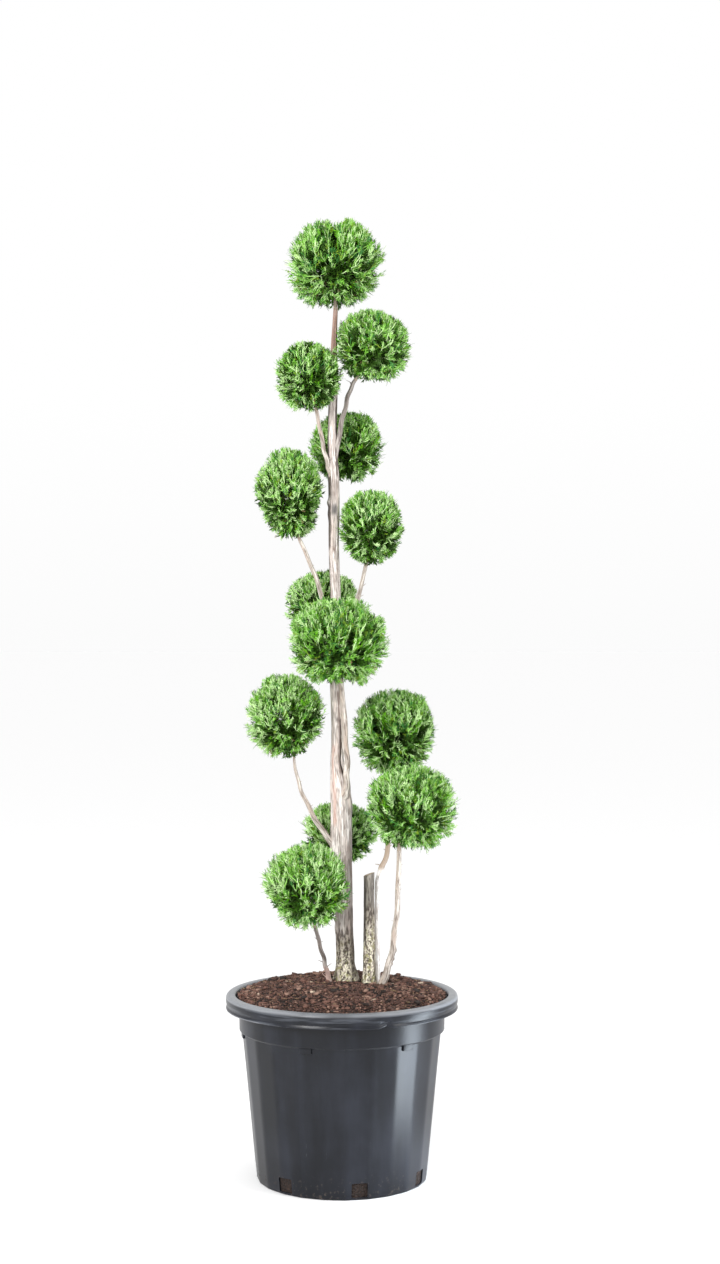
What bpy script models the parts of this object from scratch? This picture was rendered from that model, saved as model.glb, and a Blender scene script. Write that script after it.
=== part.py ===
"""A pompon thuja: a cleared stem with thirteen clipped balls of foliage, in its round nursery pot.

Metres, +Z up. The pot stands on z = 0 with its axis on the Z axis, and the front of the plant
faces -Y. Every limb and every ball of foliage is an object of its own.
"""

import math
import random
from collections import namedtuple

import bmesh
import bpy
import numpy as np
from mathutils import Vector

GAP = 0.0003  # air between neighbouring solids
SAME_POINT = 1e-7  # vertices this near each other become one
LINE_STEP = 0.004  # between the points of a limb's line that foliage keeps clear of
SEED = 7

# Pot: a thin wall with flat facets, a plain band above them and a rolled lip with a skirt.
POT_HEIGHT = 0.339
FOOT_RADIUS = 0.1568
FOOT_CHAMFER = 0.0015
BODY_TOP_RADIUS = 0.1838
BAND_RADIUS = 0.1887
BAND_HEIGHT = 0.039
BAND_STEP = 0.001
LIP_RADIUS = 0.2135
LIP_HEIGHT = 0.027
LIP_ROLL = 0.008
LIP_ROLL_BEND = 0.3  # of the roll, how far in and down its outer corner is cut
MOUTH_ROLL_IN = 0.4  # of the roll, where its top ends above the mouth
MOUTH_ROLL_DROP = 0.25
LIP_GROOVE = 0.013  # up inside the skirt of the lip
MOUTH_RADIUS = 0.1957
WALL = 0.0022
FLOOR = 0.003
FACETS = 24
FACET_TURN = math.radians(3)  # of the first facet edge, from the front towards +X
LIP_BOTTOM = POT_HEIGHT - LIP_HEIGHT
BAND_BOTTOM = LIP_BOTTOM - BAND_HEIGHT
BOWL_TOP = POT_HEIGHT - 2 * LIP_ROLL  # where the inside begins to widen to the mouth

POT_FINISH = ((0.055, 0.062, 0.075), 0.35)  # colour and roughness
SOIL_FINISH = ((0.10, 0.052, 0.034), 0.95)
TRUNK_FINISH = ((0.46, 0.36, 0.30), 0.85)
STUB_FINISH = ((0.30, 0.27, 0.22), 0.9)
BOUGH_FINISH = ((0.48, 0.39, 0.32), 0.85)
FOLIAGE_FINISH = ((0.10, 0.30, 0.045), 0.8)

# Seven drainage holes at the foot, and six stacking lugs under the band.
HOLES = 7
HOLE_WIDTH = 0.029
HOLE_HEIGHT = 0.026
HOLE_SILL = 0.004
HOLE_TURN = math.radians(12)
HOLE_CUT = 0.03  # through the wall, the cutter's own depth
LUGS = 6
LUG_WIDTH = 0.023
LUG_HEIGHT = 0.011
LUG_PROUD = 0.0019
LUG_SINK = 0.0026  # inside the radius of the facets' edges, so that it ends within the wall
LUG_TURN = math.radians(-20)

# Soil: heaped above the mouth of the pot, level round the stems.
SOIL_TOP = 0.357
SOIL_LEVEL_RADIUS = 0.092
SOIL_EDGE_DROP = 0.027
SOIL_EDGE_INSET = 0.0036  # from the mouth of the pot
SOIL_EDGE_LIFT = 0.003
SOIL_KINK_LIFT = 0.5 * WALL  # where it begins to widen, above the foot of the band
SOIL_BAND_LIFT = 2 * WALL  # where it is as wide as the band lets it be
SOIL_SLOPE = ((0.170, 0.0125), (0.135, 0.004))  # radius, and drop below the top
SOIL_BUMPS = 0.0018

# Trunk: height, x, y and radius where its taper changes, from the soil to its tip in ball 1.
Station = namedtuple("Station", "z x y radius")
TRUNK = (
    Station(SOIL_TOP + GAP, 0.008, 0.030, 0.0205),
    Station(0.393, 0.006, 0.029, 0.0172),
    Station(0.460, 0.004, 0.027, 0.0165),
    Station(0.600, -0.002, 0.022, 0.0200),
    Station(0.715, -0.002, 0.018, 0.0188),
    Station(0.772, -0.0085, 0.016, 0.0120),
    Station(0.877, -0.011, 0.013, 0.0108),
    Station(1.080, -0.013, 0.008, 0.0092),
    Station(1.284, -0.016, 0.003, 0.0100),
    Station(1.404, -0.018, 0.000, 0.0083),
    Station(1.600, -0.012, 0.000, 0.0042),
)
TRUNK_SIDES = 12
TRUNK_RING_STEP = 0.055
FLARE_HEIGHT = 0.035
FLARE_ROOTS = 4
FLARE_DEPTH = 0.28
FLARE_TURN = 0.4
FLARE_MIDDLE = 0.4  # of the flare's height, where it has a ring of its own
TRUNK_LINE_STEPS = 60  # along the trunk's line that foliage keeps clear of

# The second stem, sawn off above the soil.
STUB_FOOT = (0.0502, 0.000)
STUB_TOP = (0.0500, 0.001, 0.560)
STUB_TAPER = ((0, 0.0122), (0.12, 0.0104), (0.5, 0.0098), (1, 0.0096))  # share of height, radius
STUB_SIDES = 10

# Balls of foliage, numbered from the top: centre, half width and half height.
Ball = namedtuple("Ball", "x y z half_width half_height")
BALLS = {
    1: Ball(-0.013, 0.000, 1.682, 0.094, 0.084),
    2: Ball(0.057, -0.020, 1.526, 0.072, 0.069),
    3: Ball(-0.062, -0.045, 1.468, 0.062, 0.065),
    4: Ball(0.009, 0.085, 1.350, 0.073, 0.068),
    5: Ball(-0.096, -0.010, 1.255, 0.066, 0.086),
    6: Ball(0.055, 0.000, 1.195, 0.063, 0.071),
    7: Ball(-0.037, 0.090, 1.054, 0.072, 0.068),
    8: Ball(-0.006, -0.085, 0.983, 0.097, 0.081),
    9: Ball(-0.103, -0.010, 0.847, 0.074, 0.079),
    10: Ball(0.100, 0.045, 0.815, 0.082, 0.082),
    11: Ball(0.128, -0.055, 0.683, 0.087, 0.081),
    12: Ball(-0.005, 0.100, 0.622, 0.072, 0.059),
    13: Ball(-0.064, -0.075, 0.541, 0.081, 0.081),
}

# Where the clipped outline of a ball comes further out or less far than the plain ball: a turn in
# degrees from +X by way of the top, seen from the front, and how much further as a share.
LOBES = {
    1: ((22, -0.08), (62, 0.02), (120, -0.06), (155, -0.05), (225, 0.06), (245, 0.06), (305, 0.04)),
    2: ((20, -0.05), (60, -0.06), (150, 0.06), (245, -0.10), (310, 0.05)),
    3: ((55, -0.08), (155, -0.05), (225, 0.05), (330, 0.05)),
    4: ((0, -0.06), (50, 0.06), (120, -0.06)),
    5: ((70, -0.02), (118, 0.07), (150, -0.09), (172, 0.05), (212, -0.14), (240, -0.06), (325, -0.12)),
    6: ((10, -0.10), (50, 0.02), (150, 0.04), (325, -0.04)),
    7: ((105, -0.09), (135, -0.09), (165, 0.04)),
    8: ((30, -0.13), (62, 0.05), (155, 0.06), (205, -0.05), (280, -0.06), (303, 0.06)),
    9: ((28, -0.09), (120, 0.03), (150, -0.08), (168, 0.03), (230, 0.07), (275, -0.12), (310, -0.17)),
    10: ((0, -0.10), (40, 0.04), (135, 0.06), (150, -0.04), (180, 0.06), (335, -0.09)),
    11: ((5, -0.10), (55, -0.03), (165, 0.04), (250, -0.10), (285, 0.02), (345, -0.05)),
    12: ((125, 0.06), (155, 0.06), (200, 0.05), (335, 0.06)),
    13: ((60, 0.05), (130, -0.10), (180, 0.02), (222, -0.20), (255, -0.10), (300, -0.08)),
}
LOBE_WIDTH = 15  # degrees
LOBE_FADE = 4  # the power by which a lobe fades towards the front and back of the ball
FURTHEST_LOBE = 1.07

# Boughs, each to the ball of its number. One leaves the trunk's axis at the height `leaves`, the
# shoulder of the trunk at a point (x, y, z), or the soil at a place (x, y). It enters its ball from
# below, at a share of the half width off its centre, and bows sideways at shares of its height.
Bough = namedtuple("Bough", "leaves entry bows thick thin")
BOUGHS = {
    2: Bough(1.300, (-0.46, 0.05), ((0.85, -0.012),), 0.0050, 0.0034),
    3: Bough(1.285, (0.26, 0.15), ((0.10, -0.008),), 0.0046, 0.0034),
    4: Bough(1.200, (-0.30, -0.30), ((0.35, 0.0),), 0.0050, 0.0036),
    5: Bough(0.955, (0.28, 0.05), ((0.50, 0.019),), 0.0054, 0.0032),
    6: Bough(0.950, (-0.18, 0.0), ((0.11, 0.015),), 0.0050, 0.0036),
    7: Bough(0.930, (0.25, -0.35), ((0.35, 0.0),), 0.0052, 0.0036),
    8: Bough((0.003, 0.006, 0.700), (0.05, 0.45), ((0.05, 0.014),), 0.0064, 0.0048),
    9: Bough(0.590, (0.20, 0.10), ((0.54, -0.034),), 0.0060, 0.0024),
    10: Bough((0.0655, 0.0085), (-0.10, -0.05), ((0.94, -0.032), (0.21, 0.013)), 0.0054, 0.0042),
    11: Bough((0.070, -0.008), (-0.27, 0.10), ((0.20, 0.026),), 0.0066, 0.0042),
    12: Bough(0.500, (0.05, -0.35), ((0.35, 0.0),), 0.0056, 0.0040),
    13: Bough((-0.022, 0.014), (0.19, 0.35), ((0.22, 0.001),), 0.0044, 0.0034),
}
BOUGH_SIDES = 6
BOUGH_RINGS = 9

# Foliage: toothed blades that stand out of a smaller core, and twigs that fork from the stem. The
# core is drawn in below, where the ball is open.
CORE_SHARE = 0.83
CORE_FOOT_SHARE = 0.70
CORE_ROUGHNESS = 0.035
BLADE_ROOT_SHARE = 0.55
BLADE_LEAN = 0.35
SHORT_BLADE_SHARE = 0.93  # of the ball's reach, for the shortest of every second blade
BLADES_AT_RADIUS = 23  # blades on a ball of the radius below
REFERENCE_RADIUS = 0.08
BLADE_HALF_WIDTH = 0.36  # of its length
BLADE_HALF_THICKNESS = 0.0019
TOOTH_SHARE = 0.76
NOTCH_SHARE = 0.80
NOTCH_HALF_WIDTH = 0.32  # of the blade's half width
RIDGE_SHARE = 0.60
LIMB_CLEARANCE = 0.0025
TWIGS = 3
TWIG_SIDES = 3
TWIG_RADIUS = 0.0021
TWIG_REACH = 0.78
TWIG_TAPER = 0.55
FORK_SHARE = 0.45  # of a twig's length, where its fork leaves it
FORK_TURN = 0.6
FORK_THICKNESS = 0.8
SPRAY_RISE = 0.25
STEM_SIDES = 6
STEM_TAPER = 0.75
STEM_STEPS = 4
STEM_RISE_SHARE = 0.2  # of the straight part, where the stem's curve begins
BLADE_FACING = 0.6  # how far the blades' flat sides lean to the Z axis
BLADE_WIDTHS = (0.85, 1.15)
BLADE_CHECKS = (0.45, 0.6, 0.75, 0.9, 1.0)  # shares of its length that must be clear
TOOTH_CHECKS = (0.6, 0.8, 1.0)
TWIG_CHECKS = (0.25, 0.5, 0.75, 1.0)
TWIG_OPENINGS = (0.75, 1.25)  # radians from straight down
FORK_OPENINGS = (0.9, 1.4)
TWIG_BLADE_SHARE = 0.55  # of the twig's length, where the blade on its end is rooted
SPIRAL_JITTER = 0.15
SPACE_TOLERANCE = 0.0001
HEART_DROP = 0.25  # of the half height, from the ball's centre to the stem's end
GOLDEN_ANGLE = math.pi * (3 - math.sqrt(5))


def clear_scene():
    for obj in list(bpy.data.objects):
        bpy.data.objects.remove(obj, do_unlink=True)


def finish(obj, colour, roughness):
    """Gives the object a Principled material of its own."""
    material = bpy.data.materials.new(obj.name)
    material.use_nodes = True
    shader = material.node_tree.nodes["Principled BSDF"]
    shader.inputs["Base Color"].default_value = (*colour, 1)
    shader.inputs["Roughness"].default_value = roughness
    shader.inputs["Metallic"].default_value = 0
    obj.data.materials.clear()
    obj.data.materials.append(material)


def place(name, shape):
    """Writes a bmesh to a new object in the scene, with its faces pointing out."""
    bmesh.ops.recalc_face_normals(shape, faces=shape.faces)
    mesh = bpy.data.meshes.new(name)
    shape.to_mesh(mesh)
    shape.free()
    obj = bpy.data.objects.new(name, mesh)
    bpy.context.scene.collection.objects.link(obj)
    return obj


def remove(objects):
    for obj in objects:
        bpy.data.objects.remove(obj, do_unlink=True)


def apply_boolean(obj, operation, tools, solver="EXACT"):
    """Joins or cuts with every tool at once, applies the result and removes the tools."""
    group = bpy.data.collections.new(obj.name + "_tools")
    bpy.context.scene.collection.children.link(group)
    for tool in tools:
        for home in list(tool.users_collection):
            home.objects.unlink(tool)
        group.objects.link(tool)
    modifier = obj.modifiers.new(operation.lower(), "BOOLEAN")
    modifier.operation = operation
    modifier.solver = solver
    modifier.operand_type = "COLLECTION"
    modifier.collection = group
    graph = bpy.context.evaluated_depsgraph_get()
    joined = bpy.data.meshes.new_from_object(obj.evaluated_get(graph))
    obj.modifiers.clear()
    obj.data = joined
    remove(tools)
    bpy.data.collections.remove(group)


def keep_largest_shell(obj):
    """Drops loose scraps, and fills hollows by dropping the shells that line them."""
    shape = bmesh.new()
    shape.from_mesh(obj.data)
    bmesh.ops.remove_doubles(shape, verts=shape.verts, dist=SAME_POINT)
    unseen = set(shape.faces)
    shells = []
    while unseen:
        front = [unseen.pop()]
        shell = set(front)
        while front:
            for edge in front.pop().edges:
                for face in edge.link_faces:
                    if face in unseen:
                        unseen.discard(face)
                        shell.add(face)
                        front.append(face)
        shells.append(shell)
    shells.sort(key=len)
    scraps = [face for shell in shells[:-1] for face in shell]
    bmesh.ops.delete(shape, geom=scraps, context="FACES")
    loose = [vert for vert in shape.verts if not vert.link_faces]
    bmesh.ops.delete(shape, geom=loose, context="VERTS")
    shape.to_mesh(obj.data)
    shape.free()


def turned(name, profile, ring_shaped=False):
    """Turns a profile of (radius, z, faceted): from the axis round to the axis, or a closed ring's.

    A ring has a point on each facet's edge and one in its middle, which a faceted ring pulls in
    to the chord.
    """
    shape = bmesh.new()
    points = 2 * FACETS
    chord = math.cos(math.pi / FACETS)
    rings = []
    for radius, z, faceted in profile if ring_shaped else profile[1:-1]:
        ring = []
        for k in range(points):
            turn = FACET_TURN + math.tau * k / points
            reach = radius * (chord if faceted and k % 2 else 1)
            ring.append(shape.verts.new((reach * math.sin(turn), -reach * math.cos(turn), z)))
        rings.append(ring)
    following = rings[1:] + rings[:1] if ring_shaped else rings[1:]
    for lower, upper in zip(rings, following):
        for k in range(points):
            n = (k + 1) % points
            shape.faces.new((lower[k], lower[n], upper[n], upper[k]))
    if not ring_shaped:
        for ring, end in ((rings[0], profile[0]), (rings[-1], profile[-1])):
            centre = shape.verts.new((0, 0, end[1]))
            for k in range(points):
                shape.faces.new((centre, ring[k], ring[(k + 1) % points]))
    return place(name, shape)


def box_on_wall(name, turn, radius, z, width, height, depth):
    """A box whose middle is on the wall at this turn from the front."""
    out = Vector((math.sin(turn), -math.cos(turn), 0))
    side = Vector((math.cos(turn), math.sin(turn), 0))
    up = Vector((0, 0, 1))
    shape = bmesh.new()
    bmesh.ops.create_cube(shape, size=1)
    for vert in shape.verts:
        across, inward, lift = vert.co
        vert.co = out * (radius + inward * depth) + side * across * width + up * (z + lift * height)
    return place(name, shape)


def body_radius(z):
    """The outer radius of the faceted wall at this height."""
    return FOOT_RADIUS + (BODY_TOP_RADIUS - FOOT_RADIUS) * z / BAND_BOTTOM


def build_lip():
    """The rolled lip with its skirt, a ring of its own that sits on the wall."""
    groove_top = LIP_BOTTOM + LIP_GROOVE
    skirt_inner = LIP_RADIUS - WALL
    profile = (
        (BAND_RADIUS, BOWL_TOP, False),
        (BAND_RADIUS, groove_top, False),
        (skirt_inner, groove_top, False),
        (skirt_inner, LIP_BOTTOM, False),
        (LIP_RADIUS, LIP_BOTTOM, False),
        (LIP_RADIUS, POT_HEIGHT - LIP_ROLL, False),
        (LIP_RADIUS - LIP_ROLL_BEND * LIP_ROLL, POT_HEIGHT - LIP_ROLL_BEND * LIP_ROLL, False),
        (LIP_RADIUS - LIP_ROLL, POT_HEIGHT, False),
        (MOUTH_RADIUS + MOUTH_ROLL_IN * LIP_ROLL, POT_HEIGHT, False),
        (MOUTH_RADIUS, POT_HEIGHT - MOUTH_ROLL_DROP * LIP_ROLL, False),
        (BAND_RADIUS - WALL, BOWL_TOP, False),
    )
    finish(turned("pot_lip", profile, ring_shaped=True), *POT_FINISH)


def build_pot():
    """The pot's floor, wall and band, with its holes cut and its lugs joined on."""
    wall_top = BOWL_TOP - GAP
    profile = (
        (0, 0, False),
        (FOOT_RADIUS - FOOT_CHAMFER, 0, True),
        (FOOT_RADIUS, FOOT_CHAMFER, True),
        (BODY_TOP_RADIUS, BAND_BOTTOM, True),
        (BAND_RADIUS, BAND_BOTTOM + BAND_STEP, False),
        (BAND_RADIUS, wall_top, False),
        (BAND_RADIUS - WALL, wall_top, False),
        (BAND_RADIUS - WALL, BAND_BOTTOM + WALL, False),
        (BODY_TOP_RADIUS - WALL, BAND_BOTTOM, True),
        (body_radius(FLOOR) - WALL, FLOOR, True),
        (0, FLOOR, False),
    )
    pot = turned("pot", profile)
    holes = []
    for k in range(HOLES):
        turn = HOLE_TURN + math.tau * k / HOLES
        z = HOLE_SILL + HOLE_HEIGHT / 2
        holes.append(box_on_wall("hole", turn, FOOT_RADIUS, z, HOLE_WIDTH, HOLE_HEIGHT, HOLE_CUT))
    apply_boolean(pot, "DIFFERENCE", holes)
    lugs = []
    for k in range(LUGS):
        turn = LUG_TURN + math.tau * k / LUGS
        z = BAND_BOTTOM + BAND_STEP / 2 - LUG_HEIGHT / 2
        depth = LUG_PROUD + LUG_SINK
        radius = body_radius(z) + LUG_PROUD - depth / 2
        lugs.append(box_on_wall("lug", turn, radius, z, LUG_WIDTH, LUG_HEIGHT, depth))
    apply_boolean(pot, "UNION", lugs)
    finish(pot, *POT_FINISH)


def build_soil():
    """The root ball of soil that fills the pot, bumpy where no stem stands on it."""
    inset = WALL + GAP
    band_inset = inset + BAND_STEP
    edge_z = SOIL_TOP - SOIL_EDGE_DROP + SOIL_EDGE_LIFT
    profile = [
        (0, FLOOR + GAP, False),
        (body_radius(FLOOR) - inset, FLOOR + GAP, True),
        (BODY_TOP_RADIUS - inset, BAND_BOTTOM + SOIL_KINK_LIFT, True),
        (BAND_RADIUS - band_inset, BAND_BOTTOM + SOIL_BAND_LIFT, True),
        (BAND_RADIUS - band_inset, BOWL_TOP, True),
        (MOUTH_RADIUS - SOIL_EDGE_INSET, edge_z, True),
    ]
    profile += [(radius, SOIL_TOP - drop, False) for radius, drop in SOIL_SLOPE]
    profile += [(SOIL_LEVEL_RADIUS, SOIL_TOP, False), (0, SOIL_TOP, False)]
    soil = turned("soil", profile)
    rng = random.Random(SEED)
    for vert in soil.data.vertices:
        sloping = SOIL_LEVEL_RADIUS < math.hypot(vert.co.x, vert.co.y) - BAND_STEP
        if sloping and vert.co.z > edge_z + BAND_STEP:
            vert.co.z += rng.uniform(-SOIL_BUMPS, SOIL_BUMPS)
    finish(soil, *SOIL_FINISH)


def bezier(controls, share):
    """The point at this share of a Bezier curve."""
    points = [Vector(point) for point in controls]
    while len(points) > 1:
        points = [a.lerp(b, share) for a, b in zip(points, points[1:])]
    return points[0]


def tube_shape(path, radii, sides, level_foot=False):
    """A closed tube through the path's points. A level foot is cut flat across the Z axis."""
    shape = bmesh.new()
    tangents = []
    for k in range(len(path)):
        ahead = path[min(k + 1, len(path) - 1)]
        behind = path[max(k - 1, 0)]
        tangents.append((ahead - behind).normalized())
    side = tangents[0].orthogonal().normalized()
    rings = []
    for point, tangent, radius in zip(path, tangents, radii):
        side = (side - tangent * side.dot(tangent)).normalized()
        other = tangent.cross(side)
        ring = []
        for k in range(sides):
            turn = math.tau * k / sides
            ring.append(point + (side * math.cos(turn) + other * math.sin(turn)) * radius)
        rings.append(ring)
    if level_foot:
        rise = tangents[0]
        rings[0] = [p - rise * ((p.z - path[0].z) / rise.z) for p in rings[0]]
    loops = [[shape.verts.new(p) for p in ring] for ring in rings]
    for lower, upper in zip(loops, loops[1:]):
        for k in range(sides):
            n = (k + 1) % sides
            shape.faces.new((lower[k], lower[n], upper[n], upper[k]))
    shape.faces.new(loops[0][::-1])
    shape.faces.new(loops[-1])
    return shape


def trunk_at(z):
    """The trunk's centre and radius at this height, smooth between its stations."""
    low = max(k for k in range(len(TRUNK) - 1) if TRUNK[k].z <= z or k == 0)
    a, b = TRUNK[low], TRUNK[low + 1]
    share = min(max((z - a.z) / (b.z - a.z), 0), 1)
    ease = share * share * (3 - 2 * share)
    centre = Vector((a.x + (b.x - a.x) * ease, a.y + (b.y - a.y) * ease, z))
    return centre, a.radius + (b.radius - a.radius) * ease


def trunk_shape(grow=0.0):
    """The trunk with its root flare, or a cutter that much larger all round."""
    rings = math.ceil((TRUNK[-1].z - TRUNK[0].z - FLARE_HEIGHT) / TRUNK_RING_STEP) + 1
    heights = [TRUNK[0].z, TRUNK[0].z + FLARE_MIDDLE * FLARE_HEIGHT]
    heights += list(np.linspace(TRUNK[0].z + FLARE_HEIGHT, TRUNK[-1].z, rings))
    shape = bmesh.new()
    loops = []
    for z in heights:
        centre, radius = trunk_at(z)
        flare = max(0, 1 - (z - TRUNK[0].z) / FLARE_HEIGHT) ** 2
        loop = []
        for k in range(TRUNK_SIDES):
            turn = math.tau * k / TRUNK_SIDES
            lobe = 1 + FLARE_DEPTH * flare * (0.5 + 0.5 * math.cos(FLARE_ROOTS * turn + FLARE_TURN))
            reach = radius * lobe + grow
            loop.append(shape.verts.new(centre + Vector((math.cos(turn), math.sin(turn), 0)) * reach))
        loops.append(loop)
    for lower, upper in zip(loops, loops[1:]):
        for k in range(TRUNK_SIDES):
            n = (k + 1) % TRUNK_SIDES
            shape.faces.new((lower[k], lower[n], upper[n], upper[k]))
    shape.faces.new(loops[0][::-1])
    shape.faces.new(loops[-1])
    return shape


def build_trunk():
    trunk = place("trunk", trunk_shape())
    finish(trunk, *TRUNK_FINISH)


def build_stub():
    foot = Vector((*STUB_FOOT, SOIL_TOP + GAP))
    top = Vector(STUB_TOP)
    path = [foot.lerp(top, share) for share, _ in STUB_TAPER]
    radii = [radius for _, radius in STUB_TAPER]
    stub = place("stub_stem", tube_shape(path, radii, STUB_SIDES, level_foot=True))
    finish(stub, *STUB_FINISH)
    return path, radii


def bough_path(number):
    """The bough's centre line and radii from its root to the underside of its ball."""
    bough = BOUGHS[number]
    ball = BALLS[number]
    across, back = bough.entry
    drop = math.sqrt(1 - across * across - back * back)
    tip = Vector((
        ball.x + across * ball.half_width,
        ball.y + back * ball.half_width,
        ball.z - drop * ball.half_height,
    ))
    if isinstance(bough.leaves, float):
        root = trunk_at(bough.leaves)[0]
    elif len(bough.leaves) == 3:
        root = Vector(bough.leaves)
    else:
        root = Vector((*bough.leaves, SOIL_TOP + GAP))
    controls = [root]
    controls += [root.lerp(tip, rise) + Vector((bow, 0, 0)) for rise, bow in bough.bows]
    controls.append(tip)
    shares = np.linspace(0, 1, BOUGH_RINGS)
    path = [bezier(controls, share) for share in shares]
    radii = [bough.thick + (bough.thin - bough.thick) * share for share in shares]
    return path, radii


def build_bough(number, path, radii):
    planted = not isinstance(BOUGHS[number].leaves, float) and len(BOUGHS[number].leaves) == 2
    shape = tube_shape(path, radii, BOUGH_SIDES, level_foot=planted)
    bough = place(f"bough_{number:02d}", shape)
    if not planted:
        apply_boolean(bough, "DIFFERENCE", [place("trunk_cutter", trunk_shape(GAP))])
        keep_largest_shell(bough)
    finish(bough, *BOUGH_FINISH)


def dense(path, radii, step=LINE_STEP):
    """The line's points and radii every few millimetres."""
    points = []
    sizes = []
    for a, b, ra, rb in zip(path, path[1:], radii, radii[1:]):
        count = max(1, math.ceil((b - a).length / step))
        for k in range(count):
            points.append(a.lerp(b, k / count))
            sizes.append(ra + (rb - ra) * k / count)
    points.append(path[-1])
    sizes.append(radii[-1])
    return np.array(points), np.array(sizes)


def blade_shape(root, tip, side, half_width):
    """A toothed blade: three points and two notches round a low ridge on each face."""
    along = tip - root
    face = along.cross(side).normalized() * BLADE_HALF_THICKNESS
    side = side.normalized() * half_width
    outline = (
        root,
        root + along * TOOTH_SHARE + side,
        root + along * NOTCH_SHARE + side * NOTCH_HALF_WIDTH,
        tip,
        root + along * NOTCH_SHARE - side * NOTCH_HALF_WIDTH,
        root + along * TOOTH_SHARE - side,
    )
    ridge = root + along * RIDGE_SHARE
    shape = bmesh.new()
    rim = [shape.verts.new(point) for point in outline]
    front = shape.verts.new(ridge + face)
    back = shape.verts.new(ridge - face)
    for k in range(len(rim)):
        n = (k + 1) % len(rim)
        shape.faces.new((rim[k], rim[n], front))
        shape.faces.new((rim[n], rim[k], back))
    return shape, outline


class Foliage:
    """One ball: its core, the stem that carries it, twigs that fork from the stem, and blades."""

    def __init__(self, number, stem_foot, stem_way, stem_radius, limbs):
        self.number = number
        self.ball = BALLS[number]
        self.centre = Vector(self.ball[:3])
        self.rng = random.Random(SEED * 100 + number)
        self.stem_foot = stem_foot + stem_way * GAP
        self.stem_way = stem_way
        self.stem_radius = stem_radius
        self.limb_points = np.vstack([points for points, _ in limbs])
        self.limb_radii = np.concatenate([radii for _, radii in limbs])
        self.pieces = []

    def bound(self, way):
        """How far the clipped ball reaches in this way, as a share of the plain ball's reach."""
        turn = math.degrees(math.atan2(way.z, way.x))
        upright = math.hypot(way.x, way.z) ** LOBE_FADE
        bound = 1
        for lobe, more in LOBES[self.number]:
            off = (turn - lobe + 180) % 360 - 180
            bound += more * math.exp(-((off / LOBE_WIDTH) ** 2)) * upright
        return min(bound, FURTHEST_LOBE)

    def reach(self, way, share=1.0):
        """The point at this share of the ball's reach from its centre, in the way given."""
        wide, high = self.ball.half_width, self.ball.half_height
        return self.centre + Vector((way.x * wide, way.y * wide, way.z * high)) * share * self.bound(way)

    def outside(self, point):
        """How far out the point is, as a share of the ball's reach."""
        away = point - self.centre
        wide, high = self.ball.half_width, self.ball.half_height
        place = Vector((away.x / wide, away.y / wide, away.z / high))
        return place.length / self.bound(place.normalized())

    def clear(self, points):
        """Whether the points keep inside the ball's own space and off every limb."""
        if any(self.outside(point) > 1 + SPACE_TOLERANCE for point in points):
            return False
        spread = np.array(points)
        away = np.linalg.norm(spread[:, None] - self.limb_points[None], axis=2)
        return bool((away > self.limb_radii + LIMB_CLEARANCE).all())

    def add(self, shape):
        self.pieces.append(place("piece", shape))

    def add_blade(self, root, tip):
        along = tip - root
        across = along.cross(Vector((self.rng.gauss(0, 1), self.rng.gauss(0, 1), BLADE_FACING)))
        half_width = BLADE_HALF_WIDTH * along.length * self.rng.uniform(*BLADE_WIDTHS)
        shape, outline = blade_shape(root, tip, across, half_width)
        tooth, _, point, _, other_tooth = outline[1:]
        checked = [root.lerp(point, share) for share in BLADE_CHECKS]
        checked += [root.lerp(corner, share) for corner in (tooth, other_tooth) for share in TOOTH_CHECKS]
        if self.clear(checked):
            self.add(shape)
        else:
            shape.free()

    def add_core(self):
        """A rough ball inside the reach, with a channel where the trunk runs close by."""
        core = bmesh.new()
        bmesh.ops.create_icosphere(core, subdivisions=2, radius=1)
        turn = self.rng.uniform(0, math.tau)
        for vert in core.verts:
            x, y, z = vert.co
            way = Vector((
                x * math.cos(turn) - y * math.sin(turn),
                x * math.sin(turn) + y * math.cos(turn),
                z,
            ))
            below = max(0.0, -z) ** 2
            share = CORE_SHARE + (CORE_FOOT_SHARE - CORE_SHARE) * below
            vert.co = self.reach(way, share + self.rng.uniform(-CORE_ROUGHNESS, CORE_ROUGHNESS))
        obj = place(f"foliage_{self.number:02d}", core)
        middles = [Vector(face.center) for face in obj.data.polygons]
        if not self.clear([vert.co for vert in obj.data.vertices] + middles):
            cutter = place("trunk_cutter", trunk_shape(LIMB_CLEARANCE))
            apply_boolean(obj, "DIFFERENCE", [cutter])
        return obj

    def stem_path(self):
        """Straight on from the limb it meets, then curving to the heart of the ball."""
        rise = self.stem_way * self.ball.half_height * (1 - CORE_FOOT_SHARE)
        heart = self.centre - Vector((0, 0, HEART_DROP * self.ball.half_height))
        bend_foot = self.stem_foot + rise * STEM_RISE_SHARE
        controls = (bend_foot, self.stem_foot + rise, heart)
        return [self.stem_foot] + [bezier(controls, share) for share in np.linspace(0, 1, STEM_STEPS)]

    def add_stem_and_twigs(self):
        """The stem runs up into the core. Twigs leave it in turn, and each forks once."""
        path = self.stem_path()
        radii = np.linspace(self.stem_radius, self.stem_radius * STEM_TAPER, len(path))
        self.add(tube_shape(path, list(radii), STEM_SIDES))
        start = self.rng.uniform(0, math.tau)
        for k in range(TWIGS):
            foot = path[1].lerp(path[2], k / (TWIGS - 1))
            turn = start + k * GOLDEN_ANGLE
            end = self.twig_end(turn, self.rng.uniform(*TWIG_OPENINGS))
            self.add_twig(foot, end, TWIG_RADIUS)
            fork = foot.lerp(end, FORK_SHARE)
            fork_end = self.twig_end(turn + FORK_TURN, self.rng.uniform(*FORK_OPENINGS))
            self.add_twig(fork, fork_end, TWIG_RADIUS * FORK_THICKNESS)

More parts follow.
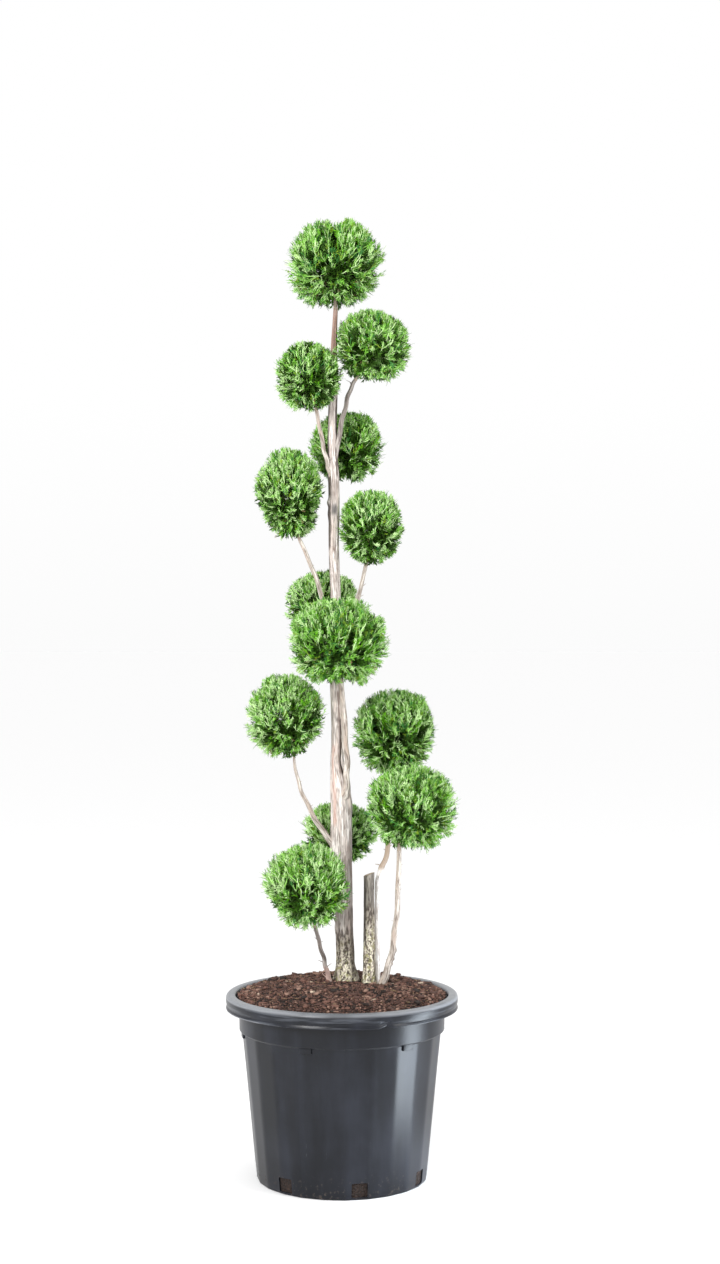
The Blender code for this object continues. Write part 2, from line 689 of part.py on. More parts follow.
    def twig_end(self, turn, open_angle):
        """A place in the lower half of the ball, this angle up from straight down."""
        way = Vector((
            math.cos(turn) * math.sin(open_angle),
            math.sin(turn) * math.sin(open_angle),
            -math.cos(open_angle),
        ))
        return self.reach(way, TWIG_REACH)

    def add_twig(self, foot, end, radius):
        """A three-sided twig with a blade on its end, left out where either would touch a limb."""
        if not self.clear([foot.lerp(end, share) for share in TWIG_CHECKS]):
            return
        self.add(tube_shape([foot, end], [radius, radius * TWIG_TAPER], TWIG_SIDES))
        way = (end - self.centre).normalized()
        way.z += SPRAY_RISE
        self.add_blade(foot.lerp(end, TWIG_BLADE_SHARE), self.reach(way.normalized()))

    def add_shell_blades(self):
        """Blades spread evenly over the ball, each leaning up and out of the core."""
        size = (self.ball.half_width * self.ball.half_height) / REFERENCE_RADIUS**2
        count = round(BLADES_AT_RADIUS * size)
        for k in range(count):
            z = 1 - 2 * k / (count - 1)
            flat = math.sqrt(max(0.0, 1 - z * z))
            turn = k * GOLDEN_ANGLE + self.rng.uniform(-SPIRAL_JITTER, SPIRAL_JITTER)
            way = Vector((math.cos(turn) * flat, math.sin(turn) * flat, z))
            tip = self.reach(way, self.rng.uniform(SHORT_BLADE_SHARE, 1) if k % 2 else 1)
            low = Vector((way.x, way.y, way.z - BLADE_LEAN)).normalized()
            root = self.reach(low, BLADE_ROOT_SHARE)
            self.add_blade(root, tip)

    def build(self):
        core = self.add_core()
        self.add_stem_and_twigs()
        self.add_shell_blades()
        apply_boolean(core, "UNION", self.pieces)
        keep_largest_shell(core)
        finish(core, *FOLIAGE_FINISH)
        return core


def main():
    clear_scene()
    build_lip()
    build_pot()
    build_soil()
    build_trunk()
    stub = build_stub()
    trunk_heights = np.linspace(TRUNK[0].z, TRUNK[-1].z, TRUNK_LINE_STEPS)
    trunk_line = [trunk_at(z) for z in trunk_heights]
    limbs = [dense([p for p, _ in trunk_line], [r for _, r in trunk_line]), dense(*stub)]
    tips = {1: (trunk_line[-1][0], Vector((0, 0, 1)), TRUNK[-1].radius)}
    for number in BOUGHS:
        path, radii = bough_path(number)
        build_bough(number, path, radii)
        limbs.append(dense(path, radii))
        tips[number] = (path[-1], (path[-1] - path[-2]).normalized(), radii[-1])
    for number, (foot, way, radius) in tips.items():
        Foliage(number, foot, way, radius, limbs).build()


main()
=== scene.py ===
"""A pompon thuja in its nursery pot: the looks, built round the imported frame.

Metres, +Z up, the front of the plant facing -Y. Each sub-assembly is a class that builds its own
meshes, dresses them and hands them to the frame.
"""

import logging
import math
from dataclasses import dataclass
from enum import Enum

import bpy
import numpy as np
from bpy.types import Material, NodeSocket, Object
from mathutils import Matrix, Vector, noise


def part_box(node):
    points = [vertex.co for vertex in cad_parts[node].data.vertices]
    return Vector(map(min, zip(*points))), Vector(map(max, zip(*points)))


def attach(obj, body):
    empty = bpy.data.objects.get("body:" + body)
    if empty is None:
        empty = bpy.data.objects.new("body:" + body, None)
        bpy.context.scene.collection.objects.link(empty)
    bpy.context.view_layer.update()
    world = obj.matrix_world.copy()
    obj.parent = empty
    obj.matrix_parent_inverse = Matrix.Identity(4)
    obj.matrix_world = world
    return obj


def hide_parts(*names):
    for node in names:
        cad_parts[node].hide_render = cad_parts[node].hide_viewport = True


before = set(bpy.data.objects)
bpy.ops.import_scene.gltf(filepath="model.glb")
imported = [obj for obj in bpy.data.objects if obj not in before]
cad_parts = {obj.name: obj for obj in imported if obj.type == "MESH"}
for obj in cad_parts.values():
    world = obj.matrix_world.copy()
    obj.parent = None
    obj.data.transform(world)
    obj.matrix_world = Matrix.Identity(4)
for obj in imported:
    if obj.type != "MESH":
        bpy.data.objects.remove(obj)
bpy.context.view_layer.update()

LOG = logging.getLogger("potted_thuja")
SEED = 7
ROOT = "root"
GOLDEN_ANGLE = math.pi * (3 - math.sqrt(5))
UP = np.array([0.0, 0.0, 1.0])
ASKEW = np.array([0.13, 0.31, 0.94])  # a way that hardly any rope takes
SOIL_TOP = 0.357
POT_HEIGHT = 0.339

Array = np.ndarray
Point = tuple[float, float, float]
Colour = tuple[float, float, float]
Pair = tuple[float, float]
Stem = tuple[float, float, float]
Ending = tuple[Array, Array, float]


# ---------------------------------------------------------------- shader nodes


class Sock:
    """A shader socket that takes part in Python arithmetic."""

    def __init__(self, tree: "Tree", socket: NodeSocket) -> None:
        """Keeps the socket and the tree that it belongs to."""
        self.tree = tree
        self.socket = socket

    def _math(self, operation: str, *values: "Sock | float") -> "Sock":
        """A Math node on these values."""
        return self.tree.node("ShaderNodeMath", {"operation": operation}, dict(enumerate(values)))

    def __add__(self, other: "Sock | float") -> "Sock":
        """self + other"""
        return self._math("ADD", self, other)

    def __sub__(self, other: "Sock | float") -> "Sock":
        """self - other"""
        return self._math("SUBTRACT", self, other)

    def __rsub__(self, other: float) -> "Sock":
        """other - self"""
        return self._math("SUBTRACT", other, self)

    def __mul__(self, other: "Sock | float") -> "Sock":
        """self * other"""
        return self._math("MULTIPLY", self, other)

    __radd__ = __add__
    __rmul__ = __mul__

    def clamped(self) -> "Sock":
        """self kept between 0 and 1."""
        return self.tree.node("ShaderNodeClamp", {}, {"Value": self})

    def ramp(self, low: float, high: float) -> "Sock":
        """0 below low and 1 above high, smooth between them.

        Args:
            low: the value up to which it is 0.
            high: the value from which it is 1.

        Returns:
            The ramp's value.
        """
        return self.tree.node(
            "ShaderNodeMapRange",
            {"interpolation_type": "SMOOTHSTEP"},
            {"Value": self, "From Min": low, "From Max": high},
        )


class Tree:
    """The nodes of one material, round a Principled shader."""

    def __init__(self, name: str) -> None:
        """Starts a material of this name.

        Args:
            name: the material's name.
        """
        self.material = bpy.data.materials.new(name)
        self.material.use_nodes = True
        self.nodes = self.material.node_tree.nodes
        self.links = self.material.node_tree.links
        self.shader = self.nodes["Principled BSDF"]

    def node(
        self,
        kind: str,
        settings: dict[str, object] | None = None,
        inputs: dict[str | int, object] | None = None,
        output: str | int = 0,
    ) -> Sock:
        """Adds a node.

        Args:
            kind: the node's type.
            settings: its properties, and "stops" for a colour ramp's (place, colour) pairs.
            inputs: values or links for its sockets, by name or by number.
            output: the socket that is returned.

        Returns:
            The chosen output socket.
        """
        made = self.nodes.new(kind)
        for key, value in (settings or {}).items():
            if key == "stops":
                self._set_stops(made.color_ramp, value)
            else:
                setattr(made, key, value)
        for key, value in (inputs or {}).items():
            self.feed(made.inputs[key], value)
        return Sock(self, made.outputs[output])

    def _set_stops(self, ramp: bpy.types.ColorRamp, stops: list[tuple[float, Colour]]) -> None:
        """Gives a colour ramp these stops.

        Args:
            ramp: the node's ramp.
            stops: a place and a colour for each.
        """
        while len(ramp.elements) < len(stops):
            ramp.elements.new(1)
        for element, (place, colour) in zip(ramp.elements, stops):
            element.position = place
            element.color = (*colour, 1)

    def feed(self, socket: NodeSocket, value: object) -> None:
        """Links a socket, or sets its value.

        Args:
            socket: the socket.
            value: a link, a colour or a number.
        """
        if isinstance(value, Sock):
            self.links.new(value.socket, socket)
        elif isinstance(value, tuple) and socket.type == "RGBA":
            socket.default_value = (*value, 1)
        else:
            socket.default_value = value

    def place(self, scale: Point = (1, 1, 1)) -> Sock:
        """The object's own coordinates, stretched by this scale."""
        where = self.node("ShaderNodeTexCoord", output="Object")
        return self.node("ShaderNodeMapping", {}, {"Vector": where, "Scale": scale})

    def axis(self, name: str) -> Sock:
        """One object coordinate, X, Y or Z."""
        where = self.node("ShaderNodeTexCoord", output="Object")
        return self.node("ShaderNodeSeparateXYZ", {}, {"Vector": where}, output=name)

    def above(self, low: float, high: float) -> Sock:
        """0 below the height low and 1 above the height high."""
        return self.axis("Z").ramp(low, high)

    def size(self, value: Sock) -> Sock:
        """The value without its sign."""
        return self.node("ShaderNodeMath", {"operation": "ABSOLUTE"}, {0: value})

    def noise(self, scale: float, detail: float = 4, stretch: Point = (1, 1, 1)) -> Sock:
        """Fractal noise, its centre at 0.5."""
        values = {"Vector": self.place(stretch), "Scale": scale, "Detail": detail}
        return self.node("ShaderNodeTexNoise", {}, values)

    def cells(self, scale: float) -> Sock:
        """Distance from the middle of each cell of a Voronoi pattern."""
        return self.node("ShaderNodeTexVoronoi", {}, {"Vector": self.place(), "Scale": scale})

    def mix(self, share: Sock | float, first: Sock | Colour, second: Sock | Colour) -> Sock:
        """Colour first where share is 0, and second where it is 1.

        Args:
            share: from 0 to 1.
            first: the colour at 0.
            second: the colour at 1.

        Returns:
            The mixed colour.
        """
        made = self.nodes.new("ShaderNodeMix")
        made.data_type = "RGBA"
        for socket, value in zip((made.inputs[0], made.inputs[6], made.inputs[7]), (share, first, second)):
            self.feed(socket, value)
        return Sock(self, made.outputs[2])

    def bump(self, height: Sock, strength: float, distance: float) -> None:
        """Feeds the shader's normal from a height."""
        values = {"Height": height, "Strength": strength, "Distance": distance}
        self.feed(self.shader.inputs["Normal"], self.node("ShaderNodeBump", {}, values))

    def finish(self, **sockets: object) -> Material:
        """Sets or links the shader's sockets, by name with _ for each space.

        Args:
            sockets: a value or a link for each.

        Returns:
            The finished material.
        """
        for key, value in sockets.items():
            self.feed(self.shader.inputs[key.replace("_", " ").title().replace("Ior", "IOR")], value)
        return self.material


# ---------------------------------------------------------------- finishes


@dataclass(frozen=True)
class PotPlastic:
    """Dark blue-grey moulded plastic, satin, with dust, scuffs and soil splashed at the foot. The lip's top
    is bleached and, as a painted highlight, paler towards its left and right; a pale line along the foot of
    the skirt is a painted highlight.

    Each pair of heights is where a mark begins to change and where it has changed.
    """

    base: Colour = (0.0038, 0.0046, 0.0074)
    worn: Colour = (0.0145, 0.0165, 0.0240)
    dust: Colour = (0.16, 0.125, 0.10)
    bleach_and_highlight: Colour = (0.26, 0.27, 0.29)
    scuff: Colour = (0.14, 0.15, 0.165)
    brush: Colour = (0.11, 0.12, 0.14)
    # painted highlight: the pale line along the foot of the skirt
    edge: Colour = (0.33, 0.34, 0.37)
    splash_end: Pair = (0.004, 0.055)
    bleach_and_highlight_start: Pair = (0.3305, 0.3375)
    lip_start: Pair = (0.3115, 0.3135)
    highlight_edge_start: Pair = (0.3118, 0.3126)
    highlight_edge_end: Pair = (0.3136, 0.3150)

    def material(self) -> Material:
        """Builds the material.

        Returns:
            The finished material.
        """
        tree = Tree("pot_plastic")
        clouds = tree.noise(9, 5)
        streaks = tree.noise(26, 5, (1, 1, 0.10))
        scuffs = tree.noise(90, 4, (1, 1, 0.25)).ramp(0.70, 0.80)
        splash = (tree.noise(150, 6).ramp(0.56, 0.72) * (1 - tree.above(*self.splash_end))).clamped()
        colour = tree.mix((clouds * 0.5 + streaks * 0.5).ramp(0.40, 0.66), self.base, self.worn)
        colour = tree.mix(scuffs * 0.35, colour, self.scuff)
        colour = tree.mix(splash * 0.30, colour, self.dust)
        # painted highlight: the lip's bleached top is made paler still towards its left and right sides
        across = tree.axis("X")
        bleach_and_painted_highlight = tree.above(*self.bleach_and_highlight_start) * (0.25 + streaks * 0.8 + across * across * 36)
        colour = tree.mix(bleach_and_painted_highlight.clamped() * 0.8, colour, self.bleach_and_highlight)
        brushed = tree.noise(12, 6, (1, 1, 20)).ramp(0.50, 0.66)
        colour = tree.mix((brushed * tree.above(*self.lip_start) * 0.40).clamped(), colour, self.brush)
        # painted highlight: a pale broken line along the lower edge of the skirt
        edge = tree.above(*self.highlight_edge_start) * (1 - tree.above(*self.highlight_edge_end))
        colour = tree.mix((edge * clouds.ramp(0.50, 0.62) * 0.42).clamped(), colour, self.edge)
        rough = 0.22 + streaks * 0.20 + splash * 0.35 + scuffs * 0.15
        tree.bump(tree.noise(420, 3) * 0.3 + clouds, 0.10, 0.0012)
        return tree.finish(base_color=colour, roughness=rough.clamped(), specular_ior_level=0.26)


@dataclass(frozen=True)
class SoilMix:
    """Reddish bark and peat: a dark ground with lighter, redder grains, darkened low in the pot as painted
    shade where the drainage holes show it.
    """

    dark: Colour = (0.020, 0.0095, 0.0062)
    mid: Colour = (0.085, 0.036, 0.021)
    light: Colour = (0.20, 0.105, 0.066)
    shade: Colour = (0.014, 0.0085, 0.0062)
    shade_end: Pair = (0.05, 0.12)

    def material(self) -> Material:
        """Builds the material of the bed under the crumbs.

        Returns:
            The finished material.
        """
        tree = Tree("soil_bed")
        grains = tree.cells(210)
        patches = tree.noise(60, 6)
        colour = tree.mix(grains.ramp(0.1, 0.7), self.mid, self.dark)
        colour = tree.mix(patches.ramp(0.55, 0.72), colour, self.light)
        # painted shade: the bed darkens towards the bottom of the pot
        colour = tree.mix(0.86 - tree.above(*self.shade_end) * 0.86, colour, self.shade)
        tree.bump(grains + patches, 0.9, 0.004)
        return tree.finish(base_color=colour, roughness=0.95)


def plain(name: str, colour: Colour, roughness: float, specular: float = 0.5) -> Material:
    """A material of one even colour, for what is dealt its colours piece by piece."""
    return Tree(name).finish(base_color=colour, roughness=roughness, specular_ior_level=specular)


class Tint(Enum):
    """Plain colours that small things are dealt, in the order of a mesh's materials."""

    @classmethod
    def dressed(cls, kind: str, rough: float, specular: float = 0.5) -> list[Material]:
        """A material for each colour, named for the kind of thing."""
        return [plain(f"{kind}_{tint.name.lower()}", tint.value, rough, specular) for tint in cls]

    @property
    def slot(self) -> int:
        """The colour's place in the order."""
        return list(type(self)).index(self)


class CrumbTint(Tint):
    """The colours of the crumbs of soil."""

    BLACK = (0.022, 0.013, 0.010)
    BROWN = (0.082, 0.041, 0.031)
    RED = (0.160, 0.079, 0.058)
    TAN = (0.280, 0.168, 0.126)
    STRAW = (0.520, 0.410, 0.310)


class FibreTint(Tint):
    """The colours of the shreds of bark."""

    BROWN = (0.11, 0.055, 0.03)
    STRAW = (0.34, 0.23, 0.13)


class LeafTint(Tint):
    """The colours of the sprays: six from dark to light, then the odd ones. The two darkest are also painted
    shade, dealt to the heart and fork sprays, the dents and the inside of the ball.
    """

    HEART_SHADE = (0.031, 0.078, 0.007)
    DEEP = (0.046, 0.134, 0.009)
    MID = (0.071, 0.221, 0.027)
    FRESH = (0.150, 0.398, 0.036)
    LIME = (0.300, 0.590, 0.122)
    TIP = (0.560, 0.790, 0.360)
    DRY = (0.170, 0.120, 0.055)
    VIVID = (0.128, 0.400, 0.006)
    COOL = (0.050, 0.218, 0.042)
    OLIVE = (0.215, 0.352, 0.022)


class TwigTint(Tint):
    """The colours of the twigs inside a ball."""

    GREEN = (0.120, 0.160, 0.055)
    BROWN = (0.200, 0.120, 0.075)
    GREY = (0.360, 0.290, 0.230)


@dataclass(frozen=True)
class Streak:
    """A darker streak on the bark: its heights, the way it faces and its half width in degrees. Some are
    painted shade, in the creases where boughs join or lie against the trunk and down the trunk's right side.
    """

    low: float
    high: float
    turn: float
    width: float
    strength: float = 0.7
    colour: Colour = (0.085, 0.066, 0.056)


STREAK_FADE = 0.012  # metres over which a streak starts and ends


@dataclass(frozen=True)
class Bark:
    """Fibrous bark that peels in upright strips.

    The strips run along the V of the piece's own map, which is in metres along the limb and U
    round it. Flakes, lichen and algae cover it up to moss_top.
    """

    name: str
    pale: Colour
    warm: Colour
    dark: Colour
    strips: float = 4.0
    moss_top: float = 0.0
    streaks: tuple[Streak, ...] = ()
    moss: Colour = (0.82, 0.78, 0.60)
    algae: Colour = (0.26, 0.245, 0.090)
    flakes: tuple[Colour, Colour] = ((0.105, 0.076, 0.060), (0.46, 0.400, 0.34))
    crack: Colour = (0.050, 0.037, 0.030)

    def mossy(self, tree: Tree, colour: Sock, fibres: Sock) -> Sock:
        """The colour with flakes, lichen, algae and cracks below the top of the moss.

        Args:
            tree: the material's nodes.
            colour: the plain bark's colour.
            fibres: the bark's fine noise.

        Returns:
            The new colour.
        """
        top = self.moss_top
        low = 1 - (tree.axis("Z") + (fibres - 0.5) * 0.06).ramp(top - 0.010, top + 0.020)
        flakes = tree.noise(210, 3, (1, 1, 0.35))
        colour = tree.mix(low * 0.95, colour, tree.mix(flakes.ramp(0.44, 0.56), *self.flakes))
        height = 1 - tree.above(top - 0.062, top + 0.006)
        lichen = (tree.noise(330, 6, (1, 1, 0.75)).ramp(0.480, 0.560) * height).clamped()
        colour = tree.mix(lichen * 0.9, colour, self.moss)
        algae = (tree.noise(130, 5, (1, 0.8, 0.8)).ramp(0.52, 0.60) * height).clamped()
        colour = tree.mix(algae * 0.75, colour, self.algae)
        return tree.mix((flakes.ramp(0.46, 0.40) * low * 0.62).clamped(), colour, self.crack)

    def material(self) -> Material:
        """Builds the material.

        Returns:
            The finished material.
        """
        tree = Tree(self.name)
        where = tree.node("ShaderNodeUVMap", {"uv_map": "grain"})
        along = tree.node("ShaderNodeMapping", {}, {"Vector": where, "Scale": (self.strips, 15, 1)})
        fine = tree.node("ShaderNodeMapping", {}, {"Vector": where, "Scale": (self.strips * 3.5, 42, 1)})
        strips = tree.node("ShaderNodeTexNoise", {}, {"Vector": along, "Scale": 1.0, "Detail": 6})
        fibres = tree.node("ShaderNodeTexNoise", {}, {"Vector": fine, "Scale": 1.0, "Detail": 5})
        blotches = tree.noise(26, 4, (1, 1, 0.55))
        edges = 1 - tree.size(strips - 0.5).ramp(0.015, 0.075)
        colour = tree.mix(strips.ramp(0.42, 0.66), self.pale, self.warm)
        colour = tree.mix(((1 - fibres).ramp(0.50, 0.62) * 0.70).clamped(), colour, self.dark)
        colour = tree.mix(edges * 0.45, colour, self.dark)
        colour = tree.mix(blotches.ramp(0.60, 0.72) * 0.6, colour, self.dark)
        round_it = tree.node("ShaderNodeSeparateXYZ", {}, {"Vector": where}, output="X")
        if self.moss_top:
            colour = self.mossy(tree, colour, fibres)
        for streak in self.streaks:
            edge = tree.size(round_it - (0.5 + streak.turn / 360))
            edge = edge + (fibres - 0.5) * 0.10 + (strips - 0.5) * 0.06
            mark = 1 - edge.ramp(streak.width / 360 * 0.6, streak.width / 360)
            mark = mark * tree.above(streak.low, streak.low + STREAK_FADE)
            mark = mark * (1 - tree.above(streak.high - STREAK_FADE, streak.high))
            colour = tree.mix((mark * streak.strength).clamped(), colour, streak.colour)
        tree.bump(strips * 0.6 + fibres, 0.55, 0.0016)
        return tree.finish(base_color=colour, roughness=0.82)


# painted shade for the creases where boughs join the trunk
JOINT_SHADE = (0.060, 0.040, 0.030)
# a darker colour for the trunk's left side beside ball 5
LEFT_DARKENING = (0.070, 0.050, 0.042)
ALL_ROUND = 190  # degrees: a half width that reaches past the back of the limb
TRUNK_STREAKS = (
    Streak(1.500, 1.620, 0, ALL_ROUND, 0.70, (0.27, 0.125, 0.085)),
    # painted shade in the creases where boughs 2 and 3 join the trunk
    Streak(1.290, 1.345, -40, 10, 0.90, JOINT_SHADE),
    Streak(1.285, 1.350, 42, 9, 0.90, JOINT_SHADE),
    # darker down the trunk's left, beside ball 5
    Streak(1.246, 1.310, -62, 42, 0.92, LEFT_DARKENING),
    Streak(1.150, 1.246, -70, 40, 0.92, LEFT_DARKENING),
    Streak(0.950, 1.150, -82, 34, 0.75),
    Streak(1.214, 1.244, 4, 34, 0.88, (0.105, 0.095, 0.095)),
    Streak(1.228, 1.240, 0, 14, 0.80, (0.26, 0.23, 0.22)),
    Streak(1.146, 1.166, 6, 20, 0.85, (0.13, 0.070, 0.045)),
    # painted shade down the trunk's right side, and in the crease where bough 8 lies against it
    Streak(0.700, 0.950, 84, 34, 0.70),
    Streak(0.735, 0.900, 22, 14, 0.80, (0.16, 0.105, 0.085)),
    Streak(0.730, 0.850, 33, 9, 0.95, (0.045, 0.028, 0.022)),
    # painted shade down the trunk's right side
    Streak(0.540, 0.700, 80, 34, 0.60, (0.16, 0.13, 0.11)),
    Streak(0.640, 0.800, -38, 16, 0.45, (0.52, 0.27, 0.20)),
    Streak(0.833, 0.850, 0, 16, 0.85, (0.060, 0.035, 0.028)),
    Streak(1.296, 1.440, -70, 30, 0.90, (0.075, 0.054, 0.045)),
    Streak(1.296, 1.440, 70, 30, 0.90, (0.075, 0.054, 0.045)),
    # painted shade down the trunk's right side, to the soil
    Streak(0.495, 0.590, 58, 46, 0.60, (0.17, 0.14, 0.12)),
    Streak(0.356, 0.500, 70, 40, 0.62, (0.062, 0.047, 0.038)),
    Streak(0.452, 0.505, -20, 80, 0.45, (0.085, 0.062, 0.050)),
)
STUB_STREAKS = (
    Streak(0.497, 0.509, 15, 24, 0.92, (0.070, 0.042, 0.030)),
    Streak(0.425, 0.553, -66, 34, 0.75, (0.050, 0.040, 0.034)),
    Streak(0.530, 0.541, 28, 30, 0.75, (0.055, 0.044, 0.037)),
    Streak(0.455, 0.463, 38, 30, 0.85, (0.055, 0.040, 0.030)),
    Streak(0.418, 0.426, 44, 26, 0.80, (0.055, 0.040, 0.030)),
)
TRUNK_BARK = Bark(
    "bark_trunk", (0.80, 0.735, 0.695), (0.60, 0.505, 0.455), (0.150, 0.110, 0.090),
    strips=15.0, moss_top=0.445, streaks=TRUNK_STREAKS,
)
STUB_BARK = Bark(
    "bark_stub", (0.36, 0.325, 0.285), (0.19, 0.165, 0.14), (0.045, 0.034, 0.026),
    strips=5.0, moss_top=0.490, streaks=STUB_STREAKS,
)


class BoughBark(Enum):
    """The barks that a bough can have."""

    PLAIN = Bark("bark_bough", (0.66, 0.60, 0.54), (0.44, 0.35, 0.29), (0.12, 0.085, 0.065))
    GREY = Bark(
        "bark_grey", (0.43, 0.385, 0.355), (0.24, 0.205, 0.185), (0.075, 0.055, 0.045),
        streaks=(Streak(0.350, 0.392, 0, ALL_ROUND, 0.75, (0.66, 0.46, 0.40)),),
    )
    # near white, partly painted light: bough 10 is lifted out of the stub's shade
    PALE = Bark(
        "bark_pale", (0.97, 0.96, 0.95), (0.92, 0.89, 0.86), (0.50, 0.43, 0.38),
        streaks=(Streak(0.556, 0.760, 0, ALL_ROUND, 0.88, (0.36, 0.255, 0.18)),),
    )


# ---------------------------------------------------------------- meshes


def deselect_all() -> None:
    """Clears the selection, so that an operator acts on one piece."""
    if bpy.context.mode != "OBJECT":
        bpy.ops.object.mode_set(mode="OBJECT")
    bpy.ops.object.select_all(action="DESELECT")


def only(obj: Object) -> Object:
    """Selects one object and makes it active.

    Args:
        obj: the piece.

    Returns:
        The same piece.
    """
    deselect_all()
    obj.select_set(True)
    bpy.context.view_layer.objects.active = obj
    return obj


def settle(obj: Object, name: str) -> Object:
    """Names a piece and moves its place into its mesh.

    Args:
        obj: the piece.
        name: its name.

    Returns:
        The same piece.
    """
    only(obj)
    bpy.ops.object.transform_apply(location=True, rotation=True, scale=True)
    obj.name = name
    obj.data.name = name
    return obj


def dress(obj: Object, angle: float, *materials: Material) -> None:
    """Gives a piece these materials only, and shades it smooth where it turns less than the angle.

    Args:
        obj: the piece.
        angle: the angle, in degrees.
        materials: its materials, in order.
    """
    obj.data.materials.clear()
    for material in materials:
        obj.data.materials.append(material)
    only(obj)
    bpy.ops.object.shade_smooth_by_angle(angle=math.radians(angle))


def merged_and_outward(obj: Object, distance: float = 1e-6) -> None:
    """Merges doubles and turns the faces outwards.

    Args:
        obj: the piece.
        distance: how near two points are that become one.
    """
    only(obj)
    bpy.ops.object.mode_set(mode="EDIT")
    bpy.ops.mesh.select_all(action="SELECT")
    bpy.ops.mesh.remove_doubles(threshold=distance)
    bpy.ops.mesh.normals_make_consistent(inside=False)
    bpy.ops.object.mode_set(mode="OBJECT")


def apply_modifier(obj: Object, kind: str, **settings: object) -> None:
    """Adds a modifier with these settings and applies it.

    Args:
        obj: the piece.
        kind: the modifier's type.
        settings: its settings.
    """
    only(obj)
    modifier = obj.modifiers.new(kind.title(), kind)
    for key, value in settings.items():
        setattr(modifier, key, value)
    bpy.ops.object.modifier_apply(modifier=modifier.name)


def joined(objects: list[Object]) -> Object:
    """Joins the objects into the first.

    Args:
        objects: the pieces.

    Returns:
        The first piece, with the rest in it.
    """
    only(objects[0])
    for obj in objects[1:]:
        obj.select_set(True)
    bpy.ops.object.join()
    return objects[0]


def coordinates(obj: Object) -> Array:
    """The mesh's points, one row each.

    Args:
        obj: the piece.

    Returns:
        A row for each point.
    """
    flat = np.empty(len(obj.data.vertices) * 3)
    obj.data.vertices.foreach_get("co", flat)
    return flat.reshape(-1, 3)


def set_coordinates(obj: Object, points: Array) -> None:
    """Writes the mesh's points."""
    obj.data.vertices.foreach_set("co", points.astype(np.float32).ravel())
    obj.data.update()


def mesh_from_arrays(
    name: str,
    points: Array,
    faces: Array,
    slots: Array,
    materials: list[Material],
) -> Object:
    """Makes many small things as one mesh.

    Args:
        name: the piece's name.
        points: a row for each point.
        faces: a row of three points for each face.
        slots: each face's material, as a number.
        materials: the materials that the numbers stand for.

    Returns:
        The new object.
    """
    mesh = bpy.data.meshes.new(name)
    mesh.vertices.add(len(points))
    mesh.vertices.foreach_set("co", points.astype(np.float32).ravel())
    mesh.loops.add(faces.size)
    mesh.loops.foreach_set("vertex_index", faces.astype(np.int32).ravel())
    mesh.polygons.add(len(faces))
    mesh.polygons.foreach_set("loop_start", np.arange(0, faces.size, 3, dtype=np.int32))
    for material in materials:
        mesh.materials.append(material)
    mesh.polygons.foreach_set("material_index", slots.astype(np.int32))
    mesh.update(calc_edges=True)
    mesh.validate()
    obj = bpy.data.objects.new(name, mesh)
    bpy.context.scene.collection.objects.link(obj)
    return obj


def hand_over(obj: Object, slot: str, *nodes: str) -> None:
    """Rides the piece on the plant and lets it stand for the nodes.

    Args:
        obj: the finished piece.
        slot: not used.
        nodes: the frame's nodes that it replaces.
    """
    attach(obj, ROOT)
    if nodes:
        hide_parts(*nodes)
    LOG.info("%s: %d faces", obj.name, len(obj.data.polygons))


def eased(share: Array) -> Array:
    """A share that sets off and arrives gently."""
    return share * share * (3 - 2 * share)


def travelled(path: Array) -> Array:
    """How far along the path each of its points is."""
    return np.concatenate([[0], np.cumsum(np.linalg.norm(np.diff(path, axis=0), axis=1))])


def unit(vectors: Array) -> Array:
    """Each row made one long."""
    return vectors / np.maximum(np.linalg.norm(vectors, axis=-1, keepdims=True), 1e-12)


def bezier(controls: list[Array], shares: Array) -> Array:
    """The points of a Bezier curve at these shares.

    Args:
        controls: its control points.
        shares: the places along it, from 0 to 1.

    Returns:
        A point for each share.
    """
    points = [np.repeat(np.asarray(c, float)[None], len(shares), 0) for c in controls]
    while len(points) > 1:
        points = [a + (b - a) * shares[:, None] for a, b in zip(points, points[1:])]
    return points[0]


def ripple(points: Array, scale: float | Point, offset: float) -> Array:
    """Smooth noise from -1 to 1 at each point, stretched by the scale."""
    stretched = points * np.array(scale) + offset
    return np.array([noise.noise(Vector(p)) for p in stretched])


def around(radius: Array | float, turn: Array | float, z: Array | float) -> Array:
    """The points at this radius and height, turned from the front towards the right."""
    return np.stack([radius * np.sin(turn), -radius * np.cos(turn), z], -1)


def turn_between(turn: Array, other: float, full: float = math.tau) -> Array:
    """How far the turn is past the other, from minus half a full turn to half of one."""
    return (turn - other + full / 2) % full - full / 2


class Parts:
    """Triangles of several kinds, gathered into one mesh."""

    def __init__(self) -> None:
        """Starts with nothing."""
        self.points: list[Array] = []
        self.faces: list[Array] = []
        self.slots: list[Array] = []
        self.count = 0

    def add(self, points: Array, faces: Array, slots: Array | int) -> None:
        """Adds points and their faces, with one material for all or one for each.

        Args:
            points: a row for each point.
            faces: a row of three points for each face.
            slots: the material's number, or one for each face.
        """
        self.points.append(points)
        self.faces.append(faces + self.count)
        self.slots.append(np.broadcast_to(slots, len(faces)))
        self.count += len(points)

    def piece(self, name: str, materials: list[Material]) -> Object:
        """All that was added, as one piece."""
        points, faces, slots = np.vstack(self.points), np.vstack(self.faces), np.concatenate(self.slots)
        return mesh_from_arrays(name, points, faces, slots, materials)


# ---------------------------------------------------------------- pot


